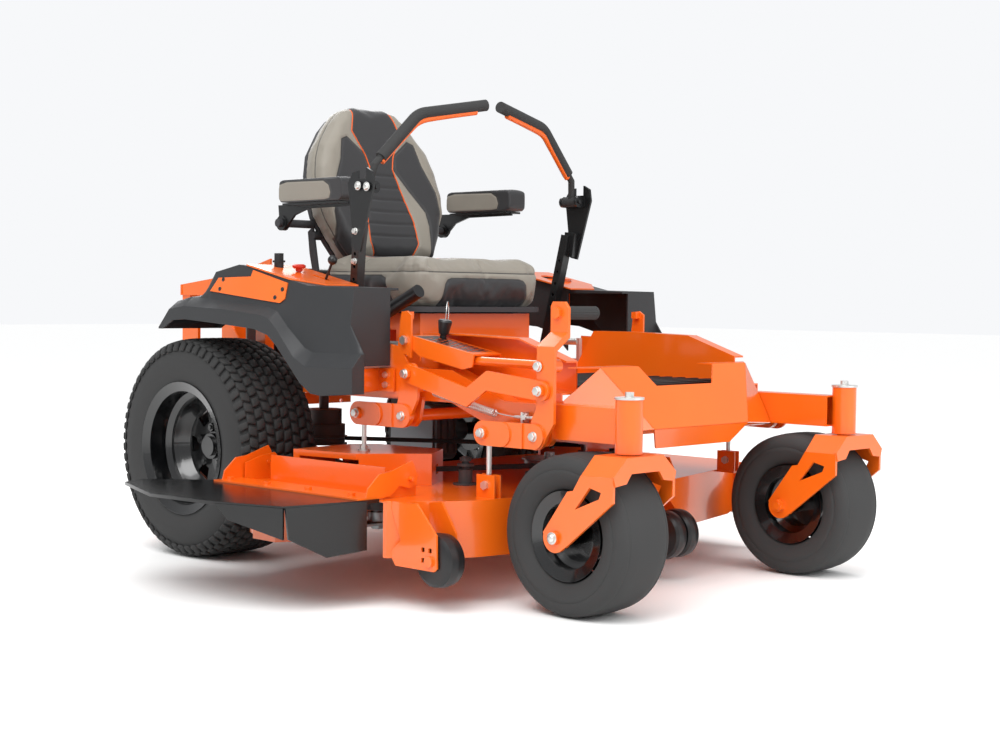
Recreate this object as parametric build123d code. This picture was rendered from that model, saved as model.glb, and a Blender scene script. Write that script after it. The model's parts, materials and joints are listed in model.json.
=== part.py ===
"""Zero turn mower: a ride-on mower with two drive wheels, two casters and a three-blade deck.

Millimetres.  The machine is drawn with +Z up, the operator facing -Y, the operator's right side
at -X, and its zero point on the ground under the rear axle.  On export everything is moved so that
the origin is at the middle of the machine's plan, on the ground.
"""
import os
from math import cos, pi, radians, sin, sqrt, tan

from build123d import *

# ---- driving dimensions -------------------------------------------------------------------------
# Running gear
DRIVE_TYRE_R = 286.0          # 23 inch drive tyre
DRIVE_TYRE_HALF_W = 121.0
DRIVE_TRACK_HALF = 478.0
DRIVE_RIM_SEAT_R = 152.5      # 12 inch rim
DRIVE_RIM_LIP_R = 173.0
CASTER_TYRE_R = 177.0         # 13 inch caster tyre
CASTER_TYRE_HALF_W = 82.0
CASTER_RIM_SEAT_R = 76.0      # 6 inch rim
CASTER_RIM_LIP_R = 98.0
CASTER_TRACK_HALF = 418.0
CASTER_PIVOT_Y = -1357.0
CASTER_TRAIL = 115.0          # the wheel runs this far behind its swivel axis
SPINDLE_R = 15.9
CASTER_AXLE_R = 9.5
RUNNING_FIT = 0.06            # radial gap between a shaft and the hole it turns in

# Frame
RAIL_OUTER_X = 425.0
RAIL_W = 50.0
RAIL_H = 76.0
RAIL_FRONT_Z = 376.0          # underside of the front rails
RAIL_RISE = 64.0              # the rails kick up by this behind the front arms
RAIL_WALL = 4.0
RAIL_END_Y = -290.0           # the outer rails stop ahead of the drive tyres
BEAM_X = (290.0, 335.0)       # the rear beams run on between the tyres
BEAM_FRONT_Y = -540.0
RAIL_REAR_Y = 390.0
CASTER_TUBE_R = 29.5
CASTER_TUBE_Z = (358.0, 473.0)
SHEET = 4.0                   # pressed sheet of the frame
FLOOR_Z = 474.0               # top of the foot platform
SEAT_BOX_TOP = 643.0

# Deck and its linkage
DECK_TOP_Z = 235.0
DECK_SKIRT_Z = 108.0
DECK_WALL = 5.0
BLADE_R = 228.0               # three 18 inch blades
BLADE_Z = 132.0
SIDE_SPINDLE = (425.0, -575.0)
CENTRE_SPINDLE = (0.0, -755.0)
CRANK_R = 147.0               # shaft centre to hanger pin
LINK_OFFSET = (-21.5, 101.0)  # shaft centre to link pin, in Y and Z
REAR_SHAFT = (-706.0, 404.0)  # Y and Z of the rear lift shaft
FRONT_SHAFT = (-1129.0, 382.0)
LIFT_SHAFT_R = 14.0
LIFT_PIN_R = 8.0
ARM_X = 454.0                 # inner face of the lift arms
ARM_T = 8.0
BELT_Z = 268.0

# Controls and seat
LEVER_PIVOT = (354.0, -398.0, 478.0)
LEVER_TUBE = 25.0
FENDER_INNER_X = 420.0
SWING_PIVOT = (380.0, -482.0, 955.0)
GRIP_R = 15.0
SEAT_HALF_W = 245.0
BACK_RECLINE = 15.0
SOFT_GAP = 0.4                # a soft pad stands this far off what carries it


# ---- shape helpers ------------------------------------------------------------------------------
def block(x0, x1, y0, y1, z0, z1):
    """A box between two corners."""
    return Pos((x0 + x1) / 2, (y0 + y1) / 2, (z0 + z1) / 2) * Box(abs(x1 - x0), abs(y1 - y0), abs(z1 - z0))


def outline(points):
    """A flat face inside a closed run of 3-D points."""
    return make_face(Polyline(*points, close=True))


def prism_x(points, x0, x1):
    """Push a (y, z) outline from x0 to x1."""
    return extrude(outline([(x0, y, z) for y, z in points]), amount=abs(x1 - x0),
        dir=(1 if x1 > x0 else -1, 0, 0))


def prism_y(points, y0, y1):
    """Push an (x, z) outline from y0 to y1."""
    return extrude(outline([(x, y0, z) for x, z in points]), amount=abs(y1 - y0),
        dir=(0, 1 if y1 > y0 else -1, 0))


def prism_z(points, z0, z1):
    """Push an (x, y) outline from z0 to z1."""
    return extrude(outline([(x, y, z0) for x, y in points]), amount=abs(z1 - z0),
        dir=(0, 0, 1 if z1 > z0 else -1))


def rod(start, end, radius, bore=0.0):
    """A round bar, or a tube when it has a bore, between two points."""
    axis = Vector(*end) - Vector(*start)
    plane = Plane(origin=start, z_dir=axis)
    solid = extrude(plane * Circle(radius), amount=axis.length)
    if bore:
        solid -= extrude(plane * Circle(bore), amount=axis.length)
    return solid


def rod_x(x0, x1, y, z, radius, bore=0.0):
    return rod((min(x0, x1), y, z), (max(x0, x1), y, z), radius, bore)


def rod_y(y0, y1, x, z, radius, bore=0.0):
    return rod((x, min(y0, y1), z), (x, max(y0, y1), z), radius, bore)


def rod_z(z0, z1, x, y, radius, bore=0.0):
    return rod((x, y, min(z0, z1)), (x, y, max(z0, z1)), radius, bore)


def hexagon(plane, across, height):
    """A hexagon head or nut standing on a plane."""
    return extrude(plane * RegularPolygon(across / sqrt(3), 6), amount=height)


def turned_x(profile, centre):
    """Turn an (offset, radius) outline about the X line through a centre."""
    x, y, z = centre
    points = [(x + u, y, z + r) for u, r in profile]
    area = sum(a[0] * b[2] - b[0] * a[2] for a, b in zip(points, points[1:] + points[:1]))
    return revolve(outline(points if area > 0 else points[::-1]), Axis((x, y, z), (1, 0, 0)), 360)


def panel(points, thickness):
    """A flat sheet standing equally on both sides of its outline."""
    return extrude(outline(points), amount=thickness / 2, both=True)


def upright(start, end, profile, thickness):
    """A standing sheet over the plan line start to end; the profile is (fraction along, height)."""
    (xa, ya), (xb, yb) = start, end
    return panel([(xa + (xb - xa) * s, ya + (yb - ya) * s, z) for s, z in profile], thickness)


def stadium_x(start, end, radius, x0, x1):
    """A link plate with round ends, between two (y, z) centres."""
    (ya, za), (yb, zb) = start, end
    length = sqrt((yb - ya) ** 2 + (zb - za) ** 2)
    ny, nz = -(zb - za) / length * radius, (yb - ya) / length * radius
    bar = prism_x([(ya + ny, za + nz), (yb + ny, zb + nz), (yb - ny, zb - nz), (ya - ny, za - nz)], x0, x1)
    return bar + rod_x(x0, x1, ya, za, radius) + rod_x(x0, x1, yb, zb, radius)


def flip(shape):
    """The same piece on the other side of the machine."""
    return mirror(shape, about=Plane.YZ)


def both_sides(shape):
    """A piece and its mirror image as separate solids."""
    return Compound(children=[shape, flip(shape)])


def group(*shapes):
    """Separate solids that share one node."""
    return Compound(children=[solid for shape in shapes for solid in shape.solids()])


def between(table, y):
    """The height of a broken line at y; the table runs from rear to front."""
    for (ya, za), (yb, zb) in zip(table, table[1:]):
        if yb <= y <= ya:
            return za + (zb - za) * (ya - y) / (ya - yb)
    return table[0][1] if y > table[0][0] else table[-1][1]


# ---- running gear -------------------------------------------------------------------------------
DRIVE_CENTRE = (-DRIVE_TRACK_HALF, 0.0, DRIVE_TYRE_R)
CASTER_CENTRE = (-CASTER_TRACK_HALF, CASTER_PIVOT_Y + CASTER_TRAIL, CASTER_TYRE_R)
HUB_FACE = 6.0                # the rim's disc lies against the hub this far outboard of the middle
DISC_T = 6.0
AXLE_R = 19.0


def drive_tyre():
    half, r, seat = DRIVE_TYRE_HALF_W, DRIVE_TYRE_R, DRIVE_RIM_SEAT_R + 0.2
    outer = [(half - 16, seat), (half - 10, 178), (half, 212), (half - 3, 246), (half - 20, r - 5),
        (half - 55, r - 1)]
    inner = [(0, r - 17), (half - 34, r - 21), (half - 17, 232), (half - 15, 196), (half - 31, seat)]
    profile = [(-u, v) for u, v in outer] + [(0, r)] + outer[::-1] + inner[::-1]
    profile += [(-u, v) for u, v in inner[1:]]
    return turned_x(profile, DRIVE_CENTRE)


def drive_rim():
    seat, lip = DRIVE_RIM_SEAT_R, DRIVE_RIM_LIP_R
    skin = [(114, lip), (106, seat), (62, seat), (52, 138), (-52, 138), (-62, seat), (-106, seat),
        (-114, lip)]
    back = [(-118, lip), (-109, seat - 4), (-60, seat - 4), (-50, 134), (50, 134), (60, seat - 4),
        (109, seat - 4), (118, lip)]
    barrel = turned_x(skin + back, DRIVE_CENTRE)
    bowl = [(-46, 134.5), (-46, 129), (-34, 122), (-HUB_FACE - DISC_T, 104), (-HUB_FACE - DISC_T, 34)]
    bowl += [(-HUB_FACE, 34), (-HUB_FACE, 107), (-30, 127), (-38, 134.5)]
    wheel = barrel + turned_x(bowl, DRIVE_CENTRE)
    x, y, z = DRIVE_CENTRE
    for index in range(6):
        window = prism_x([(-13, 62), (13, 62), (23, 95), (-23, 95)], x - 60, x + 40)
        wheel -= Pos(0, y, z) * Rot(60 * index + 30, 0, 0) * window
    for index in range(5):
        angle = radians(72 * index + 90)
        wheel -= rod_x(x - 30, x + 10, y + 50 * cos(angle), z + 50 * sin(angle), 7)
    hub = rod_x(x - HUB_FACE + 0.2, x + 8, y, z, 68) + rod_x(x - 24, x + 8, y, z, 33.6)
    hub += rod_x(x, x + 150, y, z, AXLE_R) + rod_x(x - 32, x - 20, y, z, 26)
    for index in range(5):
        angle = radians(72 * index + 90)
        centre = (x - HUB_FACE - DISC_T - 0.2, y + 50 * cos(angle), z + 50 * sin(angle))
        hub += rod_x(x, centre[0] - 14, centre[1], centre[2], 6)
        hub += hexagon(Plane(origin=centre, z_dir=(-1, 0, 0)), 21, 10)
    return group(wheel, hub)


def caster_tyre():
    half, r, seat = CASTER_TYRE_HALF_W, CASTER_TYRE_R, CASTER_RIM_SEAT_R + 0.2
    outer = [(half - 25, seat), (half - 16, 102), (half, 124), (half, 150), (half - 8, r - 6),
        (half - 22, r - 1)]
    inner = [(0, r - 12), (half - 20, r - 14), (half - 10, 148), (half - 10, 126), (half - 32, 100),
        (half - 38, seat)]
    profile = [(-u, v) for u, v in outer] + [(0, r)] + outer[::-1] + inner[::-1]
    profile += [(-u, v) for u, v in inner[1:]]
    return turned_x(profile, CASTER_CENTRE)


HUB_HALF = 95.5               # the hub fills the fork


def caster_rim():
    seat, lip = CASTER_RIM_SEAT_R, CASTER_RIM_LIP_R
    skin = [(66, lip), (59, seat), (36, seat), (28, 62), (-28, 62), (-36, seat), (-59, seat), (-66, lip)]
    back = [(-69, lip), (-61, seat - 3), (-34, seat - 3), (-26, 59), (26, 59), (34, seat - 3),
        (61, seat - 3), (69, lip)]
    rim = turned_x(skin + back, CASTER_CENTRE)
    rim += turned_x([(-3, 59.5), (-3, 20), (3, 20), (3, 59.5)], CASTER_CENTRE)
    x, y, z = CASTER_CENTRE
    return rim + rod_x(x - HUB_HALF, x + HUB_HALF, y, z, 22) - rod_x(x - 99, x + 99, y, z,
        CASTER_AXLE_R + RUNNING_FIT)


FORK_HALF = 104.0             # outside of the fork's legs
FORK_T = 8.0
FORK_TOP = 356.0
FORK_Y = (-1401.0, -1314.0)


def fork_leg():
    """The outboard leg, swept back from the bridge to the axle, with its three-cornered window."""
    x, y, z = CASTER_CENTRE
    leg = prism_x([(FORK_Y[0], 316), (FORK_Y[1], 316), (-1293, 282), (-1277, 279), (-1209, 186),
                   (-1231, 152), (-1271, 158), (FORK_Y[0], 264)], x - FORK_HALF, x - FORK_HALF + FORK_T)
    leg += rod_x(x - FORK_HALF, x - FORK_HALF + FORK_T, y, z, 32)
    leg -= prism_x([(-1338, 292), (-1370, 284), (-1364, 270), (-1299, 243)], x - FORK_HALF - 1,
        x - FORK_HALF + 9)
    return leg


def caster_fork():
    x, y, z = CASTER_CENTRE
    top, half, t = FORK_TOP, FORK_HALF, FORK_T
    roof = [(-half, 315), (-60, top), (60, top), (half, 315), (half - t, 315), (60 - t / 2, top - t),
        (t / 2 - 60, top - t), (t - half, 315)]
    bridge = prism_y([(x + u, v) for u, v in roof], *FORK_Y)
    skirt = [(-half, 318), (-60, top), (60, top), (half, 318), (half - 6, 298), (62, 302), (46, 322),
        (-46, 322), (-62, 302), (6 - half, 298)]
    apron = prism_y([(x + u, v) for u, v in skirt], FORK_Y[0] - 3, FORK_Y[0] + 4)
    leg = fork_leg()
    other = mirror(leg, about=Plane(origin=(x, 0, 0), z_dir=(1, 0, 0)))
    body = bridge + apron + leg + other + rod_z(top - 2, 470, x, CASTER_PIVOT_Y, SPINDLE_R)
    body -= rod_x(x - 120, x + 120, y, z, CASTER_AXLE_R + 0.3)
    axle = rod_x(x - half - 1, x + half + 14, y, z, CASTER_AXLE_R)
    axle += rod_x(x - half - 8, x - half - 0.2, y, z, 15)
    nut = hexagon(Plane(origin=(x + half + 0.3, y, z), z_dir=(1, 0, 0)), 27, 11)
    return group(body, axle + nut)


def hydro_drives():
    """The right transaxle: a finned case, its input pulley and the housing that carries the axle."""
    case = fillet(block(-330, -232, -85, 95, 205, 368).edges().filter_by(Axis.X), 22)
    case += rod_x(-430, -325, 0, DRIVE_TYRE_R, 34) + rod_z(360, 392, -262, 30, 12)
    for index in range(4):
        case += block(-322 + 26 * index, -316 + 26 * index, -95, -80, 225, 350)
    case -= rod_x(-440, -322, 0, DRIVE_TYRE_R, AXLE_R + RUNNING_FIT)
    riser = block(-BEAM_X[1] + 5, -BEAM_X[0] - 5, -40, 60, 360, RAIL_REAR_Z)
    fan = rod_z(390, 396, -262, 30, 27)
    return both_sides(case + riser + fan)


# ---- frame --------------------------------------------------------------------------------------
RAIL_REAR_Z = RAIL_FRONT_Z + RAIL_RISE
KICK_Y = (-1000.0, -830.0)


def rail():
    """One main rail: level, kicked up behind the front arm, then level to the rear."""
    low, high, tall = RAIL_FRONT_Z, RAIL_REAR_Z, RAIL_H
    front = CASTER_PIVOT_Y + CASTER_TUBE_R - 6
    side = [(front, low), (KICK_Y[0], low), (KICK_Y[1], high), (RAIL_END_Y, high),
        (RAIL_END_Y, high + tall),
            (KICK_Y[1], high + tall), (KICK_Y[0], low + tall), (front, low + tall)]
    w = RAIL_WALL
    rear = RAIL_END_Y - w
    hollow = [(front - 9, low + w), (KICK_Y[0] - 1, low + w), (KICK_Y[1] - 1, high + w), (rear, high + w),
              (rear, high + tall - w), (KICK_Y[1] + 1, high + tall - w), (KICK_Y[0] + 1, low + tall - w),
              (front - 9, low + tall - w)]
    tube = prism_x(side, -RAIL_OUTER_X, -RAIL_OUTER_X + RAIL_W)
    return tube - prism_x(hollow, -RAIL_OUTER_X + w, -RAIL_OUTER_X + RAIL_W - w)


def caster_tube():
    """The swivel tube at a front corner with a bearing ring at each end."""
    x, y = -CASTER_TRACK_HALF, CASTER_PIVOT_Y
    z0, z1 = CASTER_TUBE_Z
    tube = rod_z(z0, z1, x, y, CASTER_TUBE_R, CASTER_TUBE_R - 6)
    for start in (z0, z1 - 18):
        tube += rod_z(start, start + 18, x, y, CASTER_TUBE_R - 5, SPINDLE_R + RUNNING_FIT)
    return tube


def side_plate():
    """The tall cheek ahead of the fender, with the tower that carries the height plate."""
    x0, x1 = -RAIL_OUTER_X - 14, -RAIL_OUTER_X - 8
    cheek = prism_x([(-712, RAIL_REAR_Z + 4), (-700, 520), (-691, 534), (-669, 566), (-600, 577),
        (-480, 580), (-470, RAIL_REAR_Z + 4)], x0, x1)
    cheek += block(x1 - 1, -RAIL_OUTER_X + 1, -700, -480, RAIL_REAR_Z + 8, RAIL_REAR_Z + 60)
    tower = prism_x([(-705, 540), (-705, 642), (-690, 652), (-672, 650), (-668, 632), (-659, 560)], x0, x1)
    hook = block(x0 + 1, x0 + 22, -692, -676, 632, 650)
    return cheek + tower + hook


def fender_bracket():
    """The bent strap between the fender's foot and the cheek."""
    x = -RAIL_OUTER_X - 14
    strap = prism_z([(-600, -664), (x - 9, -604), (x - 9, -598), (-600, -658)], 458, 514)
    return strap + block(x - 9, x - 4, -655, -598, 458, 514) + block(x - 5, x + 1, -650, -604, 462, 508)


def lift_bearings():
    """The plates that hold the two lift shafts, one pair on each rail."""
    x0, x1 = -RAIL_OUTER_X - 8, -RAIL_OUTER_X + 2
    y, z = REAR_SHAFT
    rear = prism_x([(y - 34, RAIL_REAR_Z + 8), (y - 24, z - 10), (y - 8, z - 26), (y + 8, z - 26),
        (y + 24, z - 10), (y + 34, RAIL_REAR_Z + 8)], x0, x1)
    return rear + rod_x(x0, x1 + 6, *FRONT_SHAFT, 24)


def rail_holes():
    cut = LIFT_SHAFT_R + RUNNING_FIT
    return rod_x(-520, 520, *REAR_SHAFT, cut) + rod_x(-520, 520, *FRONT_SHAFT, cut)


def foot_platform():
    """The pressed pan that spans the rails, with the foot well's sloping side walls."""
    w = RAIL_OUTER_X - RAIL_W + 1
    pan = block(-w, w, -1128, -470, FLOOR_Z - SHEET, FLOOR_Z)
    pan += block(-BEAM_X[0] - 1, BEAM_X[0] + 1, -472, -80, FLOOR_Z - SHEET, FLOOR_Z)
    for side in (-1, 1):
        skirt = [(-1128, RAIL_FRONT_Z + RAIL_H - 12), (KICK_Y[0], RAIL_FRONT_Z + RAIL_H - 12),
            (KICK_Y[0] + 60, FLOOR_Z), (-1128, FLOOR_Z)]
        pan += prism_x(skirt, side * w, side * (w - SHEET))
        wall = [(-1108, FLOOR_Z - 2), (-1108, 543), (-960, 592), (-780, 597), (-640, 597),
            (-560, FLOOR_Z - 2)]
        pan += prism_x(wall, side * 300, side * 304)
        rim = [(-1108, 540), (-960, 589), (-780, 594), (-640, 594), (-640, 598), (-780, 598), (-960, 593),
            (-1108, 544)]
        pan += prism_x(rim, side * 300, side * 338)
    return pan


CROSS_FRONT_Y = -1112.0       # front face of the front cross member


def cross_members():
    wide, inner = RAIL_OUTER_X - RAIL_W + 1, BEAM_X[0] + 1
    z0, z1 = RAIL_REAR_Z + 6, RAIL_REAR_Z + RAIL_H - 6
    front = block(-wide, wide, CROSS_FRONT_Y, CROSS_FRONT_Y + 50, RAIL_FRONT_Z + 8,
        RAIL_FRONT_Z + RAIL_H - 8)
    middle = block(-wide, wide, BEAM_FRONT_Y, BEAM_FRONT_Y + 60, z0, FLOOR_Z - 1)
    ties = block(-wide, -inner, RAIL_END_Y - 40, RAIL_END_Y, z0, z1)
    engine_plate = block(-inner, inner, -60, 340, z1 - 8, z1)
    rear = block(-inner, inner, RAIL_REAR_Y - 42, RAIL_REAR_Y, z0, z1)
    return front + middle + ties + flip(ties) + engine_plate + rear


def rear_beam():
    """The box beam behind the outer rail, between the drive tyre and the engine."""
    x0, x1 = -BEAM_X[1], -BEAM_X[0]
    w = RAIL_WALL
    beam = block(x0, x1, BEAM_FRONT_Y, RAIL_REAR_Y, RAIL_REAR_Z, RAIL_REAR_Z + RAIL_H)
    return beam - block(x0 + w, x1 - w, BEAM_FRONT_Y - 1, RAIL_REAR_Y + 1, RAIL_REAR_Z + w,
        RAIL_REAR_Z + RAIL_H - w)


def rear_uprights():
    """Posts on the rear beam, with an arm out to the inner wall of the fender."""
    x0, x1 = -BEAM_X[1], -BEAM_X[1] + 6
    z0 = RAIL_REAR_Z + RAIL_H - 2
    posts = prism_x([(70, z0), (92, 560), (140, 613), (172, 613), (172, z0)], x0, x1)
    posts += prism_x([(284, z0), (284, 613), (322, 613), (350, 547), (350, z0)], x0, x1)
    posts += block(x0, x1, 165, 290, 601, 613)
    for y in (-240, -20):
        posts += block(x0, x0 + 30, y, y + 40, z0, 640)
        posts += block(-FENDER_INNER_X + 0.3, x0 + 1, y, y + 40, 622, 640)
    return posts


def lever_pin():
    """The pin that a control lever rocks on, across the gap between rail and beam."""
    return rod_x(-RAIL_OUTER_X + RAIL_W - 1, -BEAM_X[1] + 1, LEVER_PIVOT[1], LEVER_PIVOT[2], 8)


def main_frame():
    half = rail() + caster_tube() + side_plate() + fender_bracket() + lift_bearings() + rear_uprights()
    half += rear_beam()
    frame = half + flip(half) + foot_platform() + cross_members() + lever_pin() + flip(lever_pin())
    return frame - rail_holes()


def nose_plate():
    """The folded sheet across the front: a raked face with a notch, a lip below and swept wings."""
    def face_y(z):
        return -1156 - 0.5755 * (529 - z)
    t = SHEET
    wide, notch, low = 277, 143, 181
    face = panel([(x, face_y(z), z) for x, z in
                  ((-wide, 529), (-notch, 529), (-107, 484), (107, 484), (notch, 529), (wide, 529),
                      (low, 390), (-low, 390))], t)
    lip = panel([(-low, -1236, 390), (low, -1236, 390), (143, -1210, 344), (-143, -1210, 344)], t)
    sheet = face + lip
    for side in (-1, 1):
        top, crease = (side * wide, -1156, 529), (side * low, -1236, 390)
        back, heel = (side * 372, -1128, 455), (side * 372, -1170, 376)
        sheet += panel([top, back, crease], t) + panel([crease, back, heel], t)
        sheet += panel([(side * 143, -1152, 529), (side * wide, -1156, 529), (side * 336, -1110, 529),
            (side * 143, -1110, 529)], 3)
    brace = block(-120, 120, face_y(438), CROSS_FRONT_Y - 0.2, 436, 440)
    brace += block(-120, 120, face_y(408), CROSS_FRONT_Y - 0.2, 406, 410)
    return sheet + brace


def foot_mat():
    mat = block(-290, 290, -1106, -640, FLOOR_Z, FLOOR_Z + 9)
    for index in range(11):
        y = -1096 + 42 * index
        mat += block(-280, 280, y, y + 14, FLOOR_Z + 8, FLOOR_Z + 12)
    return mat


def seat_platform():
    """The open-bottomed box under the seat, on two side panels, and the seat's hinge ears."""
    top = SEAT_BOX_TOP
    box = block(-205, 205, -490, -90, FLOOR_Z, top) - block(-201, 201, -486, -94, FLOOR_Z - 1, top - SHEET)
    box -= block(-170, 170, -500, -470, FLOOR_Z - 1, 580)
    box -= block(-210, 210, -400, -180, FLOOR_Z - 1, 600)
    return box


def console_plate():
    """The sloping control plate on the fender, with its slots, and the side plate below it."""
    slope = [(-236, 763), (-470, 714), (-470, 710), (-236, 759)]
    plate = prism_x(slope, -564, -398)
    plate &= prism_z([(-564, -200), (-398, -200), (-398, -470), (-500, -470), (-564, -404)], 600, 800)
    shape = prism_x([(-127, 729), (-104, 695), (-386, 667), (-399, 677), (-399, 716), (-263, 748),
        (-259, 732)], -600, -540)
    body = fender_body()
    badge = (shape & (Pos(-3.3, 0, 0) * body)) - Pos(-0.3, 0, 0) * body
    return plate, badge


def fender_body(grow=0.0):
    """The solid shape of the moulded cover over the right drive wheel, or its inside when grown."""
    low = [(77, 588), (39, 607), (15, 619), (-37, 622), (-184, 613), (-323, 603), (-377, 589), (-410, 565),
           (-457, 521), (-502, 477), (-541, 454), (-579, 450), (-690, 458)]
    arch = [(77, 600), (31, 647), (-30, 655), (-183, 650), (-350, 637), (-383, 627), (-417, 599),
        (-476, 538), (-521, 517), (-690, 519)]
    slope = [(77, 605), (31, 668), (-30, 680), (-179, 670), (-345, 658), (-379, 648), (-419, 611),
        (-485, 561), (-515, 551), (-690, 550)]
    body = [(77, 606), (31, 672), (-57, 686), (-104, 744), (-200, 762), (-236, 758.7), (-400, 724.4),
        (-470, 709.7), (-640, 706), (-690, 552)]
    stations = sorted({y for table in (low, arch, slope, body) for y, _ in table}, reverse=True)

    def section(x, top):
        upper = [(x, y, between(top, y) - grow) for y in stations]
        under = [(x, y, between(low, y) - (60 if grow else 0)) for y in reversed(stations)]
        return outline(upper + under)

    edges = [(-610 + grow, arch), (-582 + grow, slope), (-560 + grow, body), (-FENDER_INNER_X - grow, body)]
    sides = [section(x, top) for x, top in edges]
    parts = [loft([a, b], ruled=True) for a, b in zip(sides, sides[1:])]
    return parts[0] + parts[1:]


def fender():
    """The right cover as an even skin, open below and cut away round the frame's cheek."""
    toe_x, nose_y, skin = -572.0, -640.0, 5.0
    hollow = fender_body(skin) & block(-700, -300, -684, 71, 300, 900)
    hollow -= block(toe_x - skin, -300, -700, nose_y + skin, 300, 900)
    shell = fender_body() - hollow
    shell -= block(toe_x, -300, -700, nose_y, 300, 900)
    shell -= block(-640, -400, 60, 90, 500, 596)
    shell -= block(-446, -400, -720, -440, 400, 700)
    return shell - block(-580, -440, -662, -590, 440, 520)


def fender_set():
    """Both covers, each with the holes that its console needs."""
    shell = fender()
    right = shell - rod_z(680, 800, -470, -327, 12) - rod_z(680, 800, -482, -262, 14)
    right -= block(-468, -432, -438, -342, 660, 760)
    return group(right, flip(shell) - rod_z(640, 800, 490, -330, 50))


def consoles():
    plate, badge = console_plate()
    right = plate - rod_z(680, 800, -470, -327, 5 + RUNNING_FIT) - block(-456, -444, -424, -356, 680, 760)
    right -= rod_z(700, 800, -482, -262, 12 + RUNNING_FIT)
    left = flip(plate) - rod_z(690, 800, 490, -330, 43)
    cup = rod_z(652, 742, 490, -330, 42.5, 38) + rod_z(652, 655, 490, -330, 42.5)
    cup += rod_z(739, 742, 490, -330, 47, 38)
    left += cup
    ears = Part()
    for x0 in (-463, -443):
        ears += block(x0, x0 + 6, -400, -380, 690, 729) + rod_x(x0, x0 + 6, -390, 694, 8)
    ears += rod_x(-463, -437, -390, 694, 4)
    right += ears
    return group(right, badge, left, flip(badge))


def rear_guard():
    """The bent plate round the engine on two legs, the rear bumper and the hitch tongue."""
    side = prism_x([(-40, 784), (-40, 738), (120, 684), (366, 684), (366, 714), (120, 742)], -334, -328)
    leg = block(-328.6, -292, 330, 366, RAIL_REAR_Z + RAIL_H, 690)
    foot = block(-328.6, -292, 120, 156, RAIL_REAR_Z + RAIL_H, 700)
    half = side + leg + foot
    guard = half + flip(half) + block(-336, 336, 360, 366, 684, 714)
    bumper_y = RAIL_REAR_Y + 4
    guard += block(-330, 330, RAIL_REAR_Y, bumper_y + 6, RAIL_FRONT_Z - 24, RAIL_REAR_Z + RAIL_H)
    for x in (-HITCH_BOLT_X, HITCH_BOLT_X):
        for z in (HITCH_Z - HITCH_BOLT_Z, HITCH_Z + HITCH_BOLT_Z):
            guard -= rod_y(RAIL_REAR_Y - 1, bumper_y + 8, x, z, HITCH_BOLT_R)
    guard -= block(-180, 180, RAIL_REAR_Y - 1, bumper_y + 8, HITCH_Z + 16, RAIL_REAR_Z + 50)
    tongue = block(-45, 45, bumper_y + 4, bumper_y + 66, HITCH_Z - 5, HITCH_Z + 5)
    guard += fillet(tongue.edges().filter_by(Axis.Z).sort_by(Axis.Y)[-2:], 20)
    return guard - rod_z(HITCH_Z - 9, HITCH_Z + 9, 0, bumper_y + 40, HITCH_R)


HITCH_R = 8.5
HITCH_Z = 372.0
HITCH_BOLT_X = 290.0
HITCH_BOLT_Z = 14.0
HITCH_BOLT_R = 5.5


# ---- engine -------------------------------------------------------------------------------------
ENGINE_BASE = RAIL_REAR_Z + RAIL_H - 6
CRANK_XY = (0.0, 130.0)


def engine_block():
    """Crankcase and two finned cylinders in a V, above the engine plate."""
    x, y = CRANK_XY
    case = fillet(block(-120, 120, y - 110, y + 110, ENGINE_BASE,
        ENGINE_BASE + 120).edges().filter_by(Axis.Z), 30)
    for side in (-1, 1):
        axis_y = y + 40
        for index in range(7):
            x0 = side * (118 + 13 * index)
            case += block(x0, x0 + side * 6, axis_y - 62, axis_y + 62, ENGINE_BASE + 12, ENGINE_BASE + 116)
        case += rod_x(side * 110, side * 212, axis_y, ENGINE_BASE + 64, 44)
    return case


def engine_shroud():
    """The blower housing with its round screen, and the air cleaner behind the seat."""
    x, y = CRANK_XY
    z = ENGINE_BASE + 120
    cover = fillet(block(-150, 150, y - 118, y + 120, z + 0.3, z + 62).edges().filter_by(Axis.Z), 40)
    cover += rod_z(z + 60, z + 84, x, y, 108)
    cleaner = fillet(block(-125, 125, y - 116, y - 20, z + 60, z + 132).edges().filter_by(Axis.X), 24)
    return cover + cleaner


def muffler():
    x, y = CRANK_XY
    can = rod_x(-150, 150, y + 168, ENGINE_BASE + 60, 44)
    ports = rod((-80, y + 105, ENGINE_BASE + 60), (-80, y + 140, ENGINE_BASE + 60), 14)
    ports += rod((80, y + 105, ENGINE_BASE + 60), (80, y + 140, ENGINE_BASE + 60), 14)
    pipe = rod((110, y + 168, ENGINE_BASE + 60), (110, y + 214, ENGINE_BASE + 26), 15)
    ports -= block(-130, 130, y, y + 110.2, ENGINE_BASE, ENGINE_BASE + 130)
    return can + ports + pipe


PTO_R = 61.5                  # groove bottoms of the belt's pulleys
PULLEY_R = 63.5
BELT_T, BELT_HALF = 9.0, 6.0


def grooved(place, bottom):
    """A belt pulley with a flat-bottomed groove at the belt's height."""
    x, y = place
    rim, z = bottom + 7, BELT_Z
    section = [(0, z - 12), (rim, z - 12), (rim, z - 9), (bottom, z - 7), (bottom, z + 7), (rim, z + 9),
        (rim, z + 12), (0, z + 12)]
    return revolve(outline([(x + r, y, h) for r, h in section]), Axis((x, y, 0), (0, 0, 1)), 360)


def pto_pulley():
    """The electric clutch and belt pulley below the engine."""
    x, y = CRANK_XY
    drum = grooved(CRANK_XY, PTO_R) + rod_z(BELT_Z + 11, BELT_Z + 46, x, y, 62) + rod_z(BELT_Z + 45,
        BELT_Z + 90, x, y, 52)
    shaft = rod_z(BELT_Z + 88, ENGINE_BASE + 40, x, y, 14)
    return drum + shaft


def shaft_bore():
    x, y = CRANK_XY
    return rod_z(RAIL_REAR_Z, ENGINE_BASE + 42, x, y, 14 + RUNNING_FIT)


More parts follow.
